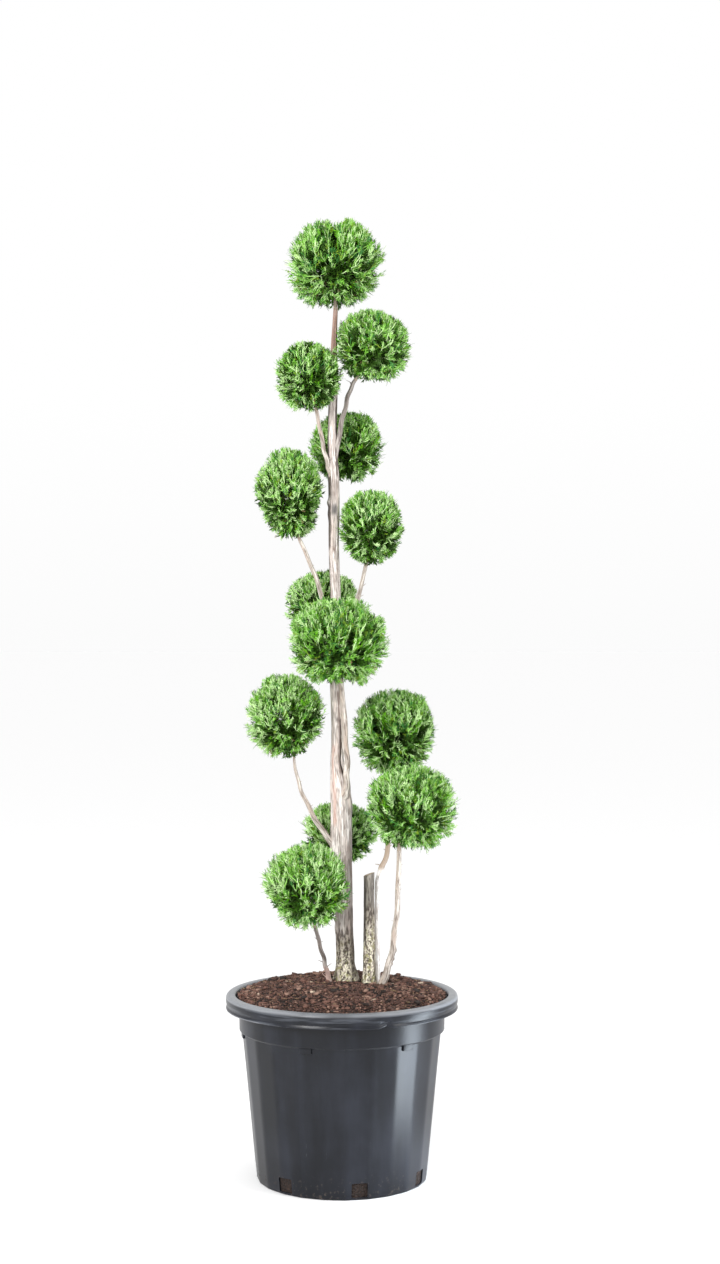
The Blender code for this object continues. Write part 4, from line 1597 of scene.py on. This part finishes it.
TRUNK_KNOTS = (
    Knot(0.104, -70, 0.010, 0.0024, 0.6),
    Knot(0.120, -86, 0.004, 0.0036, 0.35),
    Knot(0.182, 8, 0.008, -0.0016, 0.35),
    Knot(0.232, -88, 0.012, 0.0016, 0.5),
    Knot(0.333, 62, 0.018, 0.0030, 0.9),
    Knot(0.385, 38, 0.045, -0.0028, 0.22),
    Knot(0.415, -30, 0.014, 0.0012, 0.6),
    Knot(0.491, 4, 0.006, -0.0014, 0.45),
    Knot(0.596, -75, 0.013, 0.0028, 0.7),
    Knot(0.812, 10, 0.006, -0.0010, 0.6),
    Knot(0.872, -78, 0.010, 0.0022, 0.5),
    Knot(0.893, -88, 0.006, 0.0030, 0.5),
    Knot(1.015, 75, 0.008, 0.0014, 0.6),
)

TRUNK_FOOT = (0.008, 0.030, 0.022)
STUB_STEM = (0.0502, 0.0, 0.012)
STUB_FOOT = np.array([0.0502, 0.0, 0.350])
STUB_TOP = np.array([0.0500, 0.001, 0.560])


@dataclass
class Limbs:
    """The trunk, the sawn stem and the twelve boughs."""

    trunk_rings: int = 560
    trunk_span: Pair = (0.350, 1.600)
    stub_rings: int = 130
    stub_taper: tuple[Pair, ...] = ((0, 0.0126), (0.12, 0.0106), (0.5, 0.0099), (1, 0.0096))
    stub_saw_slope: float = 0.35
    bough_rings: int = 150
    sway: float = 0.0011
    wood: Colour = (0.47, 0.36, 0.25)

    def trunk(self) -> Limb:
        """The trunk, a little sunk in the soil.

        Returns:
            The limb, not yet built.
        """
        heights = np.linspace(*self.trunk_span, self.trunk_rings)
        centres, radii = trunk_at(heights)
        centres[:, 0] += self.sway * np.sin(heights * 31 + 0.6) * np.clip((heights - 0.5) * 4, 0, 1)
        return Limb(
            "trunk_bark",
            centres,
            radii,
            sides=96,
            relief=0.00062,
            flare=0.28,
            knots=TRUNK_KNOTS,
            twiglets=9,
            seed=1,
        )

    def stub(self) -> None:
        """The sawn stem, with a slanted cut on top."""
        shares = np.linspace(0, 1, self.stub_rings)
        path = STUB_FOOT + (STUB_TOP - STUB_FOOT) * shares[:, None]
        radii = np.interp(shares, *zip(*self.stub_taper))
        limb = Limb("stub_bark", path, radii, sides=48, relief=0.0008, flare=0.10, twiglets=3, seed=2)
        obj, ring = limb.raised()
        points = coordinates(obj)
        top = STUB_TOP[2] - 0.0035 + (points[:, 0] - STUB_TOP[0]) * self.stub_saw_slope
        points[:, 2] = np.where(ring > self.stub_rings - 20, np.minimum(points[:, 2], top), points[:, 2])
        set_coordinates(obj, points)
        obj = limb.closed(obj, 1e-5)
        dress(obj, 40, STUB_BARK.material(), plain("sawn_wood", self.wood, 0.85))
        for face in obj.data.polygons:
            if face.center.z > STUB_TOP[2] - 0.012 and face.normal.z > 0.85:
                face.material_index = 1
        hand_over(obj, "bark", "stub_stem")

    def bough(self, number: int, bough: Bough) -> Limb:
        """The limb of the bough to the ball of this number.

        Args:
            number: the ball's number.
            bough: where it runs.

        Returns:
            The limb, not yet built.
        """
        shares = np.linspace(0, 1, self.bough_rings)
        path = bough.line(BALLS[number], shares)
        sway = np.sin(shares * math.pi)[:, None] * self.sway
        wave = np.stack([np.sin(shares * 23 + number), np.cos(shares * 19 + number * 2), 0 * shares], 1)
        return Limb(
            f"bough_bark_{number:02d}",
            path + sway * wave,
            bough.thick + (bough.thin - bough.thick) * shares,
            sides=24,
            relief=0.00036,
            flare=0.25 if bough.from_soil else 0.0,
            collar=0.0 if bough.from_soil else 0.0022,
            knots=bough.knots,
            twiglets=bough.twiglets,
            seed=number + 2,
        )

    def build(self) -> tuple[list[Limb], dict[int, Ending]]:
        """Makes every limb.

        Returns:
            The limbs, and how the limb of each ball ends.
        """
        trunk = self.trunk()
        trunk.build(TRUNK_BARK.material(), "trunk")
        self.stub()
        barks = {kind: kind.value.material() for kind in BoughBark}
        limbs = [trunk]
        ends = {1: (trunk.path[-1], UP, trunk.radii[-1])}
        for number, bough in BOUGHS.items():
            limb = self.bough(number, bough)
            limb.build(barks[bough.bark], f"bough_{number:02d}")
            limbs.append(limb)
            line = bough.line(BALLS[number], np.linspace(0, 1, self.bough_rings))
            ends[number] = (line[-1], unit(line[-1] - line[-2]), limb.radii[-1])
        return limbs, ends


# ---------------------------------------------------------------- foliage


def spray_template(rng: np.random.Generator, branchlets: int) -> tuple[Array, Array]:
    """One small flat spray, one long: a scaly axis and folded side branchlets, two faces each.

    Args:
        rng: the source of the draws.
        branchlets: how many side branchlets it has.

    Returns:
        The points as (side, normal, along), and the faces.
    """
    points: list[tuple[float, float, float]] = []
    faces: list[tuple[int, int, int]] = []

    def leaf(root: Array, way: Array, length: float, width: float) -> None:
        """Adds one folded leaf.

        Args:
            root: where it starts.
            way: where it points.
            length: how long it is.
            width: half its width.
        """
        side = np.array([way[2], 0.0, -way[0]])
        fold = np.array([0.0, width * 0.7, 0.0])
        middle = root + way * length * 0.5
        start = len(points)
        edges = (root, middle + side * width + fold, root + way * length, middle - side * width + fold)
        points.extend(tuple(edge) for edge in edges)
        faces.extend(((start, start + 1, start + 2), (start, start + 2, start + 3)))

    leaf(np.zeros(3), UP, 1.0, 0.065)
    for k in range(branchlets):
        place = 0.12 + 0.62 * k / (branchlets - 1)
        hand = 1 if k % 2 else -1
        angle = hand * rng.uniform(0.50, 0.95)
        way = unit(np.array([math.sin(angle), rng.uniform(-0.35, 0.35), math.cos(angle)]))
        length = (0.52 - 0.28 * place) * rng.uniform(0.75, 1.25)
        leaf(np.array([0.0, 0.0, place]), way, length, 0.060)
    return np.array(points), np.array(faces)


@dataclass
class Foliage:
    """One ball: a stem on from the limb's end, twigs that fork, and sprays of scale leaves.

    Lengths are in metres, and a pair is the least and the most that a draw gives. A spread is that
    of a normal draw, and a tint's score runs from dark to light.
    """

    number: int
    foot: Array
    way: Array
    radius: float
    limbs: list[Limb]
    mains: int = 20
    main_reach: float = 0.56
    main_points: int = 8
    fork_points: int = 5
    lobe_width: float = 15.0
    furthest: float = 1.07
    outline_noise: float = 0.10
    dent_depth: float = 0.55
    foot_dent: float = 0.16
    plumes_at_80_mm: int = 300
    plume_share: Pair = (0.56, 0.72)
    side_ropes: int = 3
    rope_reach: Pair = (0.034, 0.066)
    side_rope_reach: Pair = (0.012, 0.026)
    rope_spread: float = 0.13
    side_rope_spread: float = 0.36
    main_sprays: int = 7
    side_sprays: int = 2
    # the fork and heart sprays are dealt dark tints as painted shade
    fork_sprays: int = 4
    heart_sprays: int = 18
    spray_length: Pair = (0.0080, 0.0150)
    fork_spray_length: Pair = (0.016, 0.026)
    heart_spray_length: Pair = (0.026, 0.040)
    shortest_spray: float = 0.004
    templates: int = 6
    branchlets: int = 5
    whiskers: int = 2
    whisker_length: Pair = (0.012, 0.020)
    whisker_beyond: Pair = (0.001, 0.006)
    gap_to_limbs: float = 0.0015
    tint_steps: tuple[float, ...] = (-1.45, -0.70, 0.0, 0.70, 1.40)
    tint_spread: float = 0.40
    plume_tint_spread: float = 0.42
    rope_tint_spread: float = 0.62
    dent_shade: float = 1.9
    hue_step: float = 0.34
    hue_spread: float = 0.14
    rope_hue_spread: float = 0.40
    dry_chance: float = 0.02
    heart_chance: float = 0.6
    olive_chance: float = 0.15

    def __post_init__(self) -> None:
        """Finds the ball, starts its own draws and keeps the limb points that are near it."""
        self.ball = BALLS[self.number]
        self.centre = np.array(self.ball.centre)
        self.sizes = self.ball.sizes
        self.rng = np.random.default_rng(SEED * 100 + self.number)
        points = np.vstack([limb.path for limb in self.limbs])
        radii = np.concatenate([limb.radii for limb in self.limbs])
        near = np.linalg.norm(self.placed(points), axis=1) < 1.3
        self.limb_points, self.limb_radii = points[near], radii[near]

    def placed(self, points: Array) -> Array:
        """The points from the ball's centre, as shares of its reach."""
        return (points - self.centre) / self.sizes

    def spiral(self, count: int, low: float) -> Array:
        """Ways spread evenly by the golden angle, from the top down to this height.

        Args:
            count: how many ways.
            low: the height of the lowest, from -1 to 1.

        Returns:
            A way for each.
        """
        z = np.linspace(0.985, low, count) + self.rng.uniform(-0.02, 0.02, count)
        turn = np.arange(count) * GOLDEN_ANGLE + self.rng.uniform(0, math.tau)
        turn += self.rng.uniform(-0.2, 0.2, count)
        flat = np.sqrt(np.clip(1 - z * z, 0, 1))
        return np.stack([np.cos(turn) * flat, np.sin(turn) * flat, z], 1)

    def stem(self) -> Array:
        """The stem's line, straight on from the limb and then up to the heart of the ball.

        Returns:
            Its points, from the foot up.
        """
        rise = self.way * self.ball.half_height * 0.3
        heart = self.centre + UP * 0.30 * self.ball.half_height
        curve = bezier([self.foot + rise * 0.2, self.foot + rise, heart], np.linspace(0, 1, 9))
        return np.vstack([self.foot - self.way * 0.003, curve])

    def bent_twigs(self, feet: Array, ways: Array, ends: Array, length: int) -> Array:
        """Twigs that set off in their own way and then turn to their ends.

        Args:
            feet: where each starts.
            ways: how each sets off.
            ends: where each ends.
            length: how many points each has.

        Returns:
            The points of each twig.
        """
        knees = feet + ways * np.linalg.norm(ends - feet, axis=1, keepdims=True) * 0.5
        shares = np.linspace(0, 1, length)[None, :, None]
        first = feet[:, None] + (knees - feet)[:, None] * shares
        second = knees[:, None] + (ends - knees)[:, None] * shares
        return first + (second - first) * shares

    def hollow_at(self, ways: Array) -> Array:
        """How deep the dents are in these ways, as a share of the ball's reach.

        Args:
            ways: a way from the centre for each.

        Returns:
            A depth for each way.
        """
        depth = np.clip(-0.18 - ripple(ways, (2.8, 2.8, 1.2), self.number * 7.3), 0, 1)
        depth *= self.dent_depth
        depth = np.maximum(depth, self.foot_dent * np.clip((-0.86 - ways[:, 2]) / 0.10, 0, 1))
        for hollow in self.ball.hollows:
            off = np.arccos(np.clip(ways @ unit(np.array(hollow.way)), -1, 1))
            depth = np.maximum(depth, hollow.depth * np.exp(-((off / hollow.width) ** 4)))
        return depth

    def bound_at(self, ways: Array) -> Array:
        """How far the clipped ball reaches in these ways, as a share of the plain ball's reach.

        Args:
            ways: a way from the centre for each.

        Returns:
            A share for each way.
        """
        turn = np.degrees(np.arctan2(ways[:, 2], ways[:, 0]))
        upright = np.hypot(ways[:, 0], ways[:, 2])
        bound = 1 + self.outline_noise * ripple(ways, 3.1, self.number * 3.7 + 40)
        for lobe, more in self.ball.lobes:
            bound += more * np.exp(-((turn_between(turn, lobe, 360) / self.lobe_width) ** 2)) * upright**4
        return np.minimum(bound, self.furthest)

    def grow(self) -> None:
        """Lays out the stem, the main twigs, the twigs that fork from them and the plumes' ways."""
        self.stem_path = self.stem()
        main_ways = self.spiral(self.mains, -0.80)
        main_ends = self.centre + main_ways * self.sizes * self.main_reach
        feet = self.stem_path[np.linspace(len(self.stem_path) - 1, 3, self.mains).astype(int)]
        set_off = unit(unit(main_ends - feet) + UP * 0.25)
        self.main_paths = self.bent_twigs(feet, set_off, main_ends, self.main_points)
        count = round(self.plumes_at_80_mm * self.ball.half_width * self.ball.half_height / 0.080**2)
        ways = self.plume_ways = self.spiral(count, -0.93)
        self.dents = self.hollow_at(ways)
        self.bounds = self.bound_at(ways)
        share = (self.rng.uniform(*self.plume_share, count) - self.dents * 0.75) * self.bounds
        ends = self.centre + ways * self.sizes * share[:, None]
        parent = np.argmax(ways @ main_ways.T + self.rng.uniform(0, 0.15, (count, self.mains)), axis=1)
        last = self.main_points - 1
        fork = self.rng.integers(3, last, count)
        fork_feet = self.main_paths[parent, fork]
        onward = unit(self.main_paths[parent, np.minimum(fork + 1, last)] - fork_feet)
        self.fork_paths = self.bent_twigs(fork_feet, onward, ends, self.fork_points)

    def twig_mesh(self, materials: list[Material]) -> Object:
        """The stem, main twigs and forks as one piece.

        Args:
            materials: a material for each tint.

        Returns:
            The piece.
        """
        parts = Parts()
        for paths, thick, thin, sides, tint in (
            (self.stem_path[None], self.radius, self.radius * 0.45, 10, TwigTint.GREY),
            (self.main_paths, 0.0018, 0.0008, 5, TwigTint.BROWN),
            (self.fork_paths, 0.0009, 0.0005, 3, TwigTint.GREEN),
        ):
            radii = np.repeat([np.linspace(thick, thin, paths.shape[1])], len(paths), 0)
            parts.add(*tube_bundle(paths, radii, sides), tint.slot)
        return parts.piece(f"twigs_{self.number:02d}", materials)

    def room(self, roots: Array, ways: Array, bounds: Array | float = 1.0) -> Array:
        """How far it is from each root to the edge of the ball's reach, times its bound there.

        Args:
            roots: where each starts.
            ways: where each points.
            bounds: the outline's share of the plain ball there.

        Returns:
            A length for each root.
        """
        scale = self.sizes * np.reshape(bounds, (-1, 1))
        p = (roots - self.centre) / scale
        q = ways / scale
        a = np.sum(q * q, 1)
        b = np.sum(p * q, 1)
        c = np.sum(p * p, 1) - 1
        return (-b + np.sqrt(np.maximum(b * b - a * c, 0))) / a

    def notched(self, points: Array) -> Array:
        """Whether each point lies in one of the ball's notches.

        Args:
            points: the points.

        Returns:
            A yes or no for each.
        """
        place = self.placed(points)
        turn = np.degrees(np.arctan2(place[:, 2], place[:, 0]))
        reach = np.hypot(place[:, 0], place[:, 2])
        inside = np.zeros(len(points), bool)
        for notch in self.ball.notches:
            off = np.abs(turn_between(turn, notch.turn, 360)) / notch.width
            rag = self.rng.uniform(-0.10, 0.10, len(points))
            inside |= (off < 1) & (reach > 1 + rag - notch.depth * (1 - off))
        return inside

    def clear(self, roots: Array, ways: Array, lengths: Array) -> Array:
        """Whether each spray keeps off every limb and out of the notches.

        Args:
            roots: where each starts.
            ways: where each points.
            lengths: how long each is.

        Returns:
            A yes or no for each.
        """
        good = ~self.notched(roots + ways * lengths[:, None])
        if not len(self.limb_points):
            return good
        for share in (0.15, 0.4, 0.7, 1.0):
            spots = roots + ways * (lengths * share)[:, None]
            away = np.linalg.norm(spots[:, None] - self.limb_points[None], axis=2)
            good &= (away > self.limb_radii + self.gap_to_limbs).all(1)
        return good

    def curled(self, feet: Array, ways: Array, lengths: Array) -> Array:
        """Lines of four points that wander a little and bend up.

        Args:
            feet: where each starts.
            ways: where each points.
            lengths: how long each is.

        Returns:
            The points of each line.
        """
        shares = np.array([0, 0.35, 0.7, 1.0])
        reach = lengths[:, None, None]
        lines = feet[:, None] + ways[:, None] * reach * shares[:, None]
        lines[:, 1:] += self.rng.normal(0, 0.055, (len(feet), 3, 3)) * reach
        lines[:, :, 2] += lengths[:, None] * 0.08 * shares**2
        return lines

    def lay_ropes(self) -> None:
        """Leads a leafy rope on from each fork, with side ropes off it.

        They go up and out in the upper part of the ball, and outwards or down below.
        """
        rng, out = self.rng, self.plume_ways
        count = len(out)
        feet = self.fork_paths[:, -1]
        rise = eased(np.clip((out[:, 2] + 1.05) / 1.15, 0, 1))
        lift = 1.45 * rise - 0.30 * (1 - rise)
        lead = out * (1 - 0.38 * rise)[:, None] + UP * lift[:, None]
        ways = unit(unit(lead) + rng.normal(0, self.rope_spread, (count, 3)))
        long = rng.uniform(*self.rope_reach, count)
        reach = np.minimum(self.room(feet, ways, self.bounds) * rng.uniform(0.70, 0.98, count), long)
        mains = self.curled(feet, ways, reach * (1 - self.dents * 0.8))
        which = np.repeat(np.arange(count), self.side_ropes)
        side_feet = self.along(mains, which, rng.uniform(0.08, 0.60, len(which)))
        side_ways = unit(ways[which] + rng.normal(0, self.side_rope_spread, (len(which), 3)))
        room = self.room(side_feet, side_ways, self.bounds[which])
        side_reach = np.minimum(room * 0.96, rng.uniform(*self.side_rope_reach, len(which)))
        ropes = np.vstack([mains, self.curled(side_feet, side_ways, side_reach)])
        ends = ropes[:, 1:].reshape(-1, 3)
        good = self.clear(ends, np.zeros_like(ends), np.zeros(len(ends))).reshape(-1, 3).all(1)
        self.ropes = ropes[good]
        self.rope_plume = np.concatenate([np.arange(count), which])[good]
        self.leading = (np.arange(len(ropes)) < count)[good]

    def sprays(self) -> tuple[Array, Array, Array, Array, Array]:
        """Lays sprays along the ropes and forks and in the heart of the ball.

        Returns:
            Where each spray is rooted, its way, its length, its plume and its rope, and -1 for the last two
            of a spray on a fork or in the heart, which is dealt a dark tint as painted shade.
        """
        rng = self.rng
        on_each = np.where(self.leading, self.main_sprays, self.side_sprays)
        rope = np.repeat(np.arange(len(self.ropes)), on_each)
        count = len(rope)
        share = rng.uniform(0.05, 1.0, count)
        roots = self.along(self.ropes, rope, share)
        lead = unit(self.ropes[:, -1] - self.ropes[:, 0])[rope]
        turn = np.arange(count) * GOLDEN_ANGLE + rng.uniform(-0.5, 0.5, count)
        side = unit(np.cross(lead, ASKEW))
        opened = (0.72 - 0.42 * share) * rng.uniform(0.5, 1.3, count)
        round_it = side * np.cos(turn)[:, None] + np.cross(lead, side) * np.sin(turn)[:, None]
        ways = unit(lead * np.cos(opened)[:, None] + round_it * np.sin(opened)[:, None] + UP * 0.12)
        lengths = rng.uniform(*self.spray_length, count) * (1.1 - 0.3 * share)
        lengths = np.where(rng.random(count) < 0.05, lengths * 1.7, lengths)
        fork = np.repeat(np.arange(len(self.fork_paths)), self.fork_sprays)
        fork_roots = self.along(self.fork_paths, fork, rng.uniform(0.45, 1.0, len(fork)))
        fork_ways = unit(self.plume_ways[fork] + rng.normal(0, 0.5, (len(fork), 3)) + UP * 0.3)
        inner = np.repeat(np.arange(self.mains), self.heart_sprays)
        inner_roots = self.along(self.main_paths, inner, rng.uniform(0.25, 1.0, len(inner)))
        out = unit(inner_roots - self.centre) + rng.normal(0, 0.6, (len(inner), 3))
        roots = np.vstack([roots, fork_roots, inner_roots])
        ways = np.vstack([ways, fork_ways, unit(out + UP * 0.3)])
        fork_lengths = rng.uniform(*self.fork_spray_length, len(fork))
        lengths = np.concatenate([lengths, fork_lengths, rng.uniform(*self.heart_spray_length, len(inner))])
        # -1 marks the fork and heart sprays, which are dealt dark tints as painted shade
        shade_marks = np.full(len(fork) + len(inner), -1)
        plume = np.concatenate([self.rope_plume[rope], shade_marks])
        rope = np.concatenate([rope, shade_marks])
        bounds = np.append(self.bounds, 1.0)[plume]
        lengths = np.minimum(lengths, self.room(roots, ways, bounds) * 1.01)
        good = (lengths > self.shortest_spray) & self.clear(roots, ways, lengths)
        return roots[good], ways[good], lengths[good], plume[good], rope[good]

    def whisker_mesh(self) -> tuple[Array, Array]:
        """Thin single shoots that stand a little out of the clipped outline.

        Returns:
            The points, and the faces as triangles.
        """
        rng = self.rng
        rope = np.repeat(np.flatnonzero(self.leading), self.whiskers)
        roots = self.along(self.ropes, rope, rng.uniform(0.5, 1.0, len(rope)))
        out = unit(self.placed(roots))
        lead = unit(self.ropes[rope, -1] - self.ropes[rope, 0])
        ways = unit(out * 0.9 + lead * 0.5 + rng.normal(0, 0.35, (len(rope), 3)))
        room = self.room(roots, ways, self.bounds[self.rope_plume[rope]])
        beyond = rng.uniform(*self.whisker_beyond, len(rope)) * (1 - 0.7 * np.clip(out[:, 2], 0, 1))
        lengths = np.minimum(room + beyond, rng.uniform(*self.whisker_length, len(rope)))
        good = self.clear(roots, ways, lengths) & (room > 0)
        lines = self.curled(roots[good], ways[good], lengths[good])[:, (0, 2, 3)]
        return tube_bundle(lines, np.repeat([[0.0005, 0.0003, 0.0001]], len(lines), 0), 3)

    def along(self, paths: Array, which: Array, shares: Array) -> Array:
        """The points at these shares of these paths.

        Args:
            paths: the points of each path.
            which: the number of the path.
            shares: the places along it, from 0 to 1.

        Returns:
            A point for each share.
        """
        spot = shares * (paths.shape[1] - 1.001)
        whole = spot.astype(int)
        part = (spot - whole)[:, None]
        return paths[which, whole] * (1 - part) + paths[which, whole + 1] * part

    def deal_tints(self, tips: Array, plume: Array, rope: Array, bias: float) -> Array:
        """A tint for each tip, by its plume and rope, its height, how far out it is and chance. Height, depth
        and dents paint light and shade: lighter towards the bottom of the ball, darker inside it and in its
        dents.

        Args:
            tips: the tips.
            plume: the plume of each, or -1 for a spray on a fork or in the heart, dealt a dark tint as
                painted shade.
            rope: the rope of each.
            bias: how much lighter they all are.

        Returns:
            The tint's number for each.
        """
        rng, count = self.rng, len(tips)
        place = self.placed(tips)
        out = np.linalg.norm(place, axis=1)
        score = self.ages[plume] + self.rope_ages[rope] + rng.normal(0, self.tint_spread, count)
        # painted light: lighter towards the bottom of the ball, evening out the shade from the lamps above
        score -= 0.10 * place[:, 2]
        # painted shade: darker deeper inside the ball and in its dents, its underside among them, and lighter
        # at its outside
        score += np.clip((out - 0.78) * 5, -1.6, 0.6) - self.dents[plume] * self.dent_shade
        # brightness is partly painted light, lifting balls that sit in the shade of others
        score += bias + self.ball.brightness
        tints = np.searchsorted(self.tint_steps, score)
        dry = (rng.random(count) < self.dry_chance) & (place[:, 2] < -0.3)
        # painted shade: the fork and heart sprays get the two darkest tints
        dark = np.where(rng.random(count) < self.heart_chance, LeafTint.HEART_SHADE.slot, LeafTint.DEEP.slot)
        middling = (tints == LeafTint.MID.slot) | (tints == LeafTint.FRESH.slot)
        hue = self.hues[plume] + self.rope_hues[rope] + rng.normal(0, self.hue_spread, count)
        tints = np.where(middling & (hue > self.hue_step), LeafTint.VIVID.slot, tints)
        tints = np.where(middling & (hue < -self.hue_step), LeafTint.COOL.slot, tints)
        tints = np.where(middling & (rng.random(count) < self.olive_chance), LeafTint.OLIVE.slot, tints)
        return np.where(plume < 0, dark, np.where(dry, LeafTint.DRY.slot, tints))

    def add_sprays(self, parts: Parts) -> None:
        """Adds every spray, each a turned copy of one of a few patterns.

        Args:
            parts: what they are added to.
        """
        roots, ways, lengths, plume, rope = self.sprays()
        tints = self.deal_tints(roots + ways * lengths[:, None], plume, rope, 0.22)
        side = unit(np.cross(ways, self.rng.normal(0, 1, ways.shape)))
        normal = np.cross(side, ways)
        fan = self.rng.uniform(0.8, 1.15, len(roots))
        kinds = self.rng.integers(0, self.templates, len(roots))
        for kind in range(self.templates):
            pattern, faces = spray_template(self.rng, self.branchlets)
            mine = kinds == kind
            across, lift, along = pattern.T[:, None, :, None]
            spots = roots[mine][:, None] + lengths[mine][:, None, None] * (
                side[mine][:, None] * across * fan[mine][:, None, None]
                + normal[mine][:, None] * (lift - 0.08 * along**2)
                + ways[mine][:, None] * along
            )
            starts = np.arange(len(spots))[:, None, None] * len(pattern)
            all_faces = (faces[None] + starts).reshape(-1, 3)
            parts.add(spots.reshape(-1, 3), all_faces, np.repeat(tints[mine], len(faces)))

    def leaf_mesh(self, materials: list[Material]) -> Object:
        """All ropes, sprays and whiskers of the ball as one piece.

        Args:
            materials: a material for each tint.

        Returns:
            The piece.
        """
        rng, count = self.rng, len(self.ropes)
        self.ages = rng.normal(0, self.plume_tint_spread, len(self.plume_ways))
        self.hues = ripple(self.plume_ways, (2.8, 2.8, 2.3), self.number * 5.1 + 11)
        self.hues += 0.45 * np.abs(self.plume_ways[:, 0]) - 0.15
        self.rope_ages = rng.normal(0, self.rope_tint_spread, count) + np.where(self.leading, 0.30, -0.12)
        self.rope_hues = rng.normal(0, self.rope_hue_spread, count)
        thick = np.array([[0.0011, 0.0010, 0.0009, 0.0004]]) * rng.uniform(0.8, 1.2, (count, 1))
        points, faces = tube_bundle(self.ropes, thick, 3)
        tints = self.deal_tints(self.ropes[:, -1], self.rope_plume, np.arange(count), 1.05)
        parts = Parts()
        parts.add(points, faces, np.repeat(tints, len(faces) // count))
        self.add_sprays(parts)
        points, faces = self.whisker_mesh()
        slots = [tint.slot for tint in (LeafTint.DEEP, LeafTint.MID, LeafTint.FRESH, LeafTint.DRY)]
        parts.add(points, faces, rng.choice(slots, len(faces), p=(0.4, 0.35, 0.15, 0.1)))
        return parts.piece(f"leaves_{self.number:02d}", materials)

    def build(self, leaves: list[Material], twigs: list[Material]) -> None:
        """Grows the ball and hands its leaves and twigs over.

        Args:
            leaves: the leaves' materials.
            twigs: the twigs' materials.
        """
        self.grow()
        self.lay_ropes()
        hand_over(self.leaf_mesh(leaves), "foliage", f"foliage_{self.number:02d}")
        hand_over(self.twig_mesh(twigs), "foliage")


# ---------------------------------------------------------------- studio


@dataclass(frozen=True)
class Softbox:
    """A rectangular lamp: where it stands, what it points at, its size, its power and its colour."""

    name: str
    place: Point
    aim: Point
    size: Pair
    watts: float
    colour: Colour = (1.0, 1.0, 1.0)

    def build(self) -> None:
        """Hangs the lamp."""
        lamp = bpy.data.lights.new(self.name, "AREA")
        lamp.shape = "RECTANGLE"
        lamp.size, lamp.size_y = self.size
        lamp.energy = self.watts
        lamp.color = self.colour
        obj = bpy.data.objects.new(self.name, lamp)
        obj.location = self.place
        obj.rotation_euler = (Vector(self.aim) - Vector(self.place)).to_track_quat("-Z", "Y").to_euler()
        obj.visible_camera = False
        bpy.context.scene.collection.objects.link(obj)


@dataclass
class Studio:
    """A pale floor, soft light and the camera."""

    camera_place: Point = (0.0332, -3.57, 1.003)
    lens: float = 55.14
    far: float = 100.0
    haze: float = 0.97
    haze_top: float = 0.12
    floor_size: float = 300.0
    floor_drop: float = 0.0005
    pale: Colour = (0.97, 0.97, 0.97)
    lamps: tuple[Softbox, ...] = (
        Softbox("key", (-1.8, -2.9, 2.1), (0, 0, 1.0), (1.0, 1.0), 112),
        Softbox("fill", (2.4, -1.5, 1.9), (0, 0, 1.0), (0.8, 1.6), 28),
        Softbox("strip", (0.46, -0.17, 0.15), (0, -0.17, 0.15), (0.17, 0.30), 2.6, (0.80, 0.90, 1.0)),
    )

    def floor(self) -> None:
        """The plain pale floor."""
        deselect_all()
        bpy.ops.mesh.primitive_plane_add(size=self.floor_size, location=(0, 0, -self.floor_drop))
        floor = settle(bpy.context.object, "floor")
        floor.data.materials.append(plain("pale_floor", self.pale, 0.9))

    def sky(self) -> None:
        """A white world with a little haze at the horizon."""
        world = bpy.data.worlds.new("studio")
        bpy.context.scene.world = world
        world.use_nodes = True
        nodes, links = world.node_tree.nodes, world.node_tree.links
        split = nodes.new("ShaderNodeSeparateXYZ")
        links.new(nodes.new("ShaderNodeTexCoord").outputs["Generated"], split.inputs[0])
        fade = nodes.new("ShaderNodeMapRange")
        links.new(split.outputs["Z"], fade.inputs["Value"])
        fade.inputs["From Max"].default_value = self.haze_top
        fade.inputs["To Min"].default_value = self.haze
        links.new(fade.outputs["Result"], nodes["Background"].inputs["Color"])

    def camera(self) -> None:
        """A level camera at the height of the plant's middle."""
        camera = bpy.data.cameras.new("camera")
        camera.lens = self.lens
        camera.clip_end = self.far
        obj = bpy.data.objects.new("camera", camera)
        obj.location = self.camera_place
        obj.rotation_euler = (math.pi / 2, 0, 0)
        bpy.context.scene.collection.objects.link(obj)
        bpy.context.scene.camera = obj
        bpy.context.scene.view_settings.view_transform = "Standard"

    def build(self) -> None:
        """Sets up the floor, sky, lamps and camera."""
        self.floor()
        self.sky()
        for lamp in self.lamps:
            lamp.build()
        self.camera()


def main() -> None:
    """Builds the plant from the pot up, then the studio."""
    logging.basicConfig(level=logging.INFO)
    Pot().build()
    rising = [bough for bough in BOUGHS.values() if bough.from_soil]
    Soil().build([TRUNK_FOOT, STUB_STEM, *((*bough.leaves, bough.thick) for bough in rising)])
    limbs, ends = Limbs().build()
    leaves, twigs = LeafTint.dressed("leaf", 0.55, 0.30), TwigTint.dressed("twig", 0.8)
    for number, (foot, way, radius) in ends.items():
        Foliage(number, foot, way, radius, limbs).build(leaves, twigs)
    Studio().build()


if __name__ == "__main__":
    main()
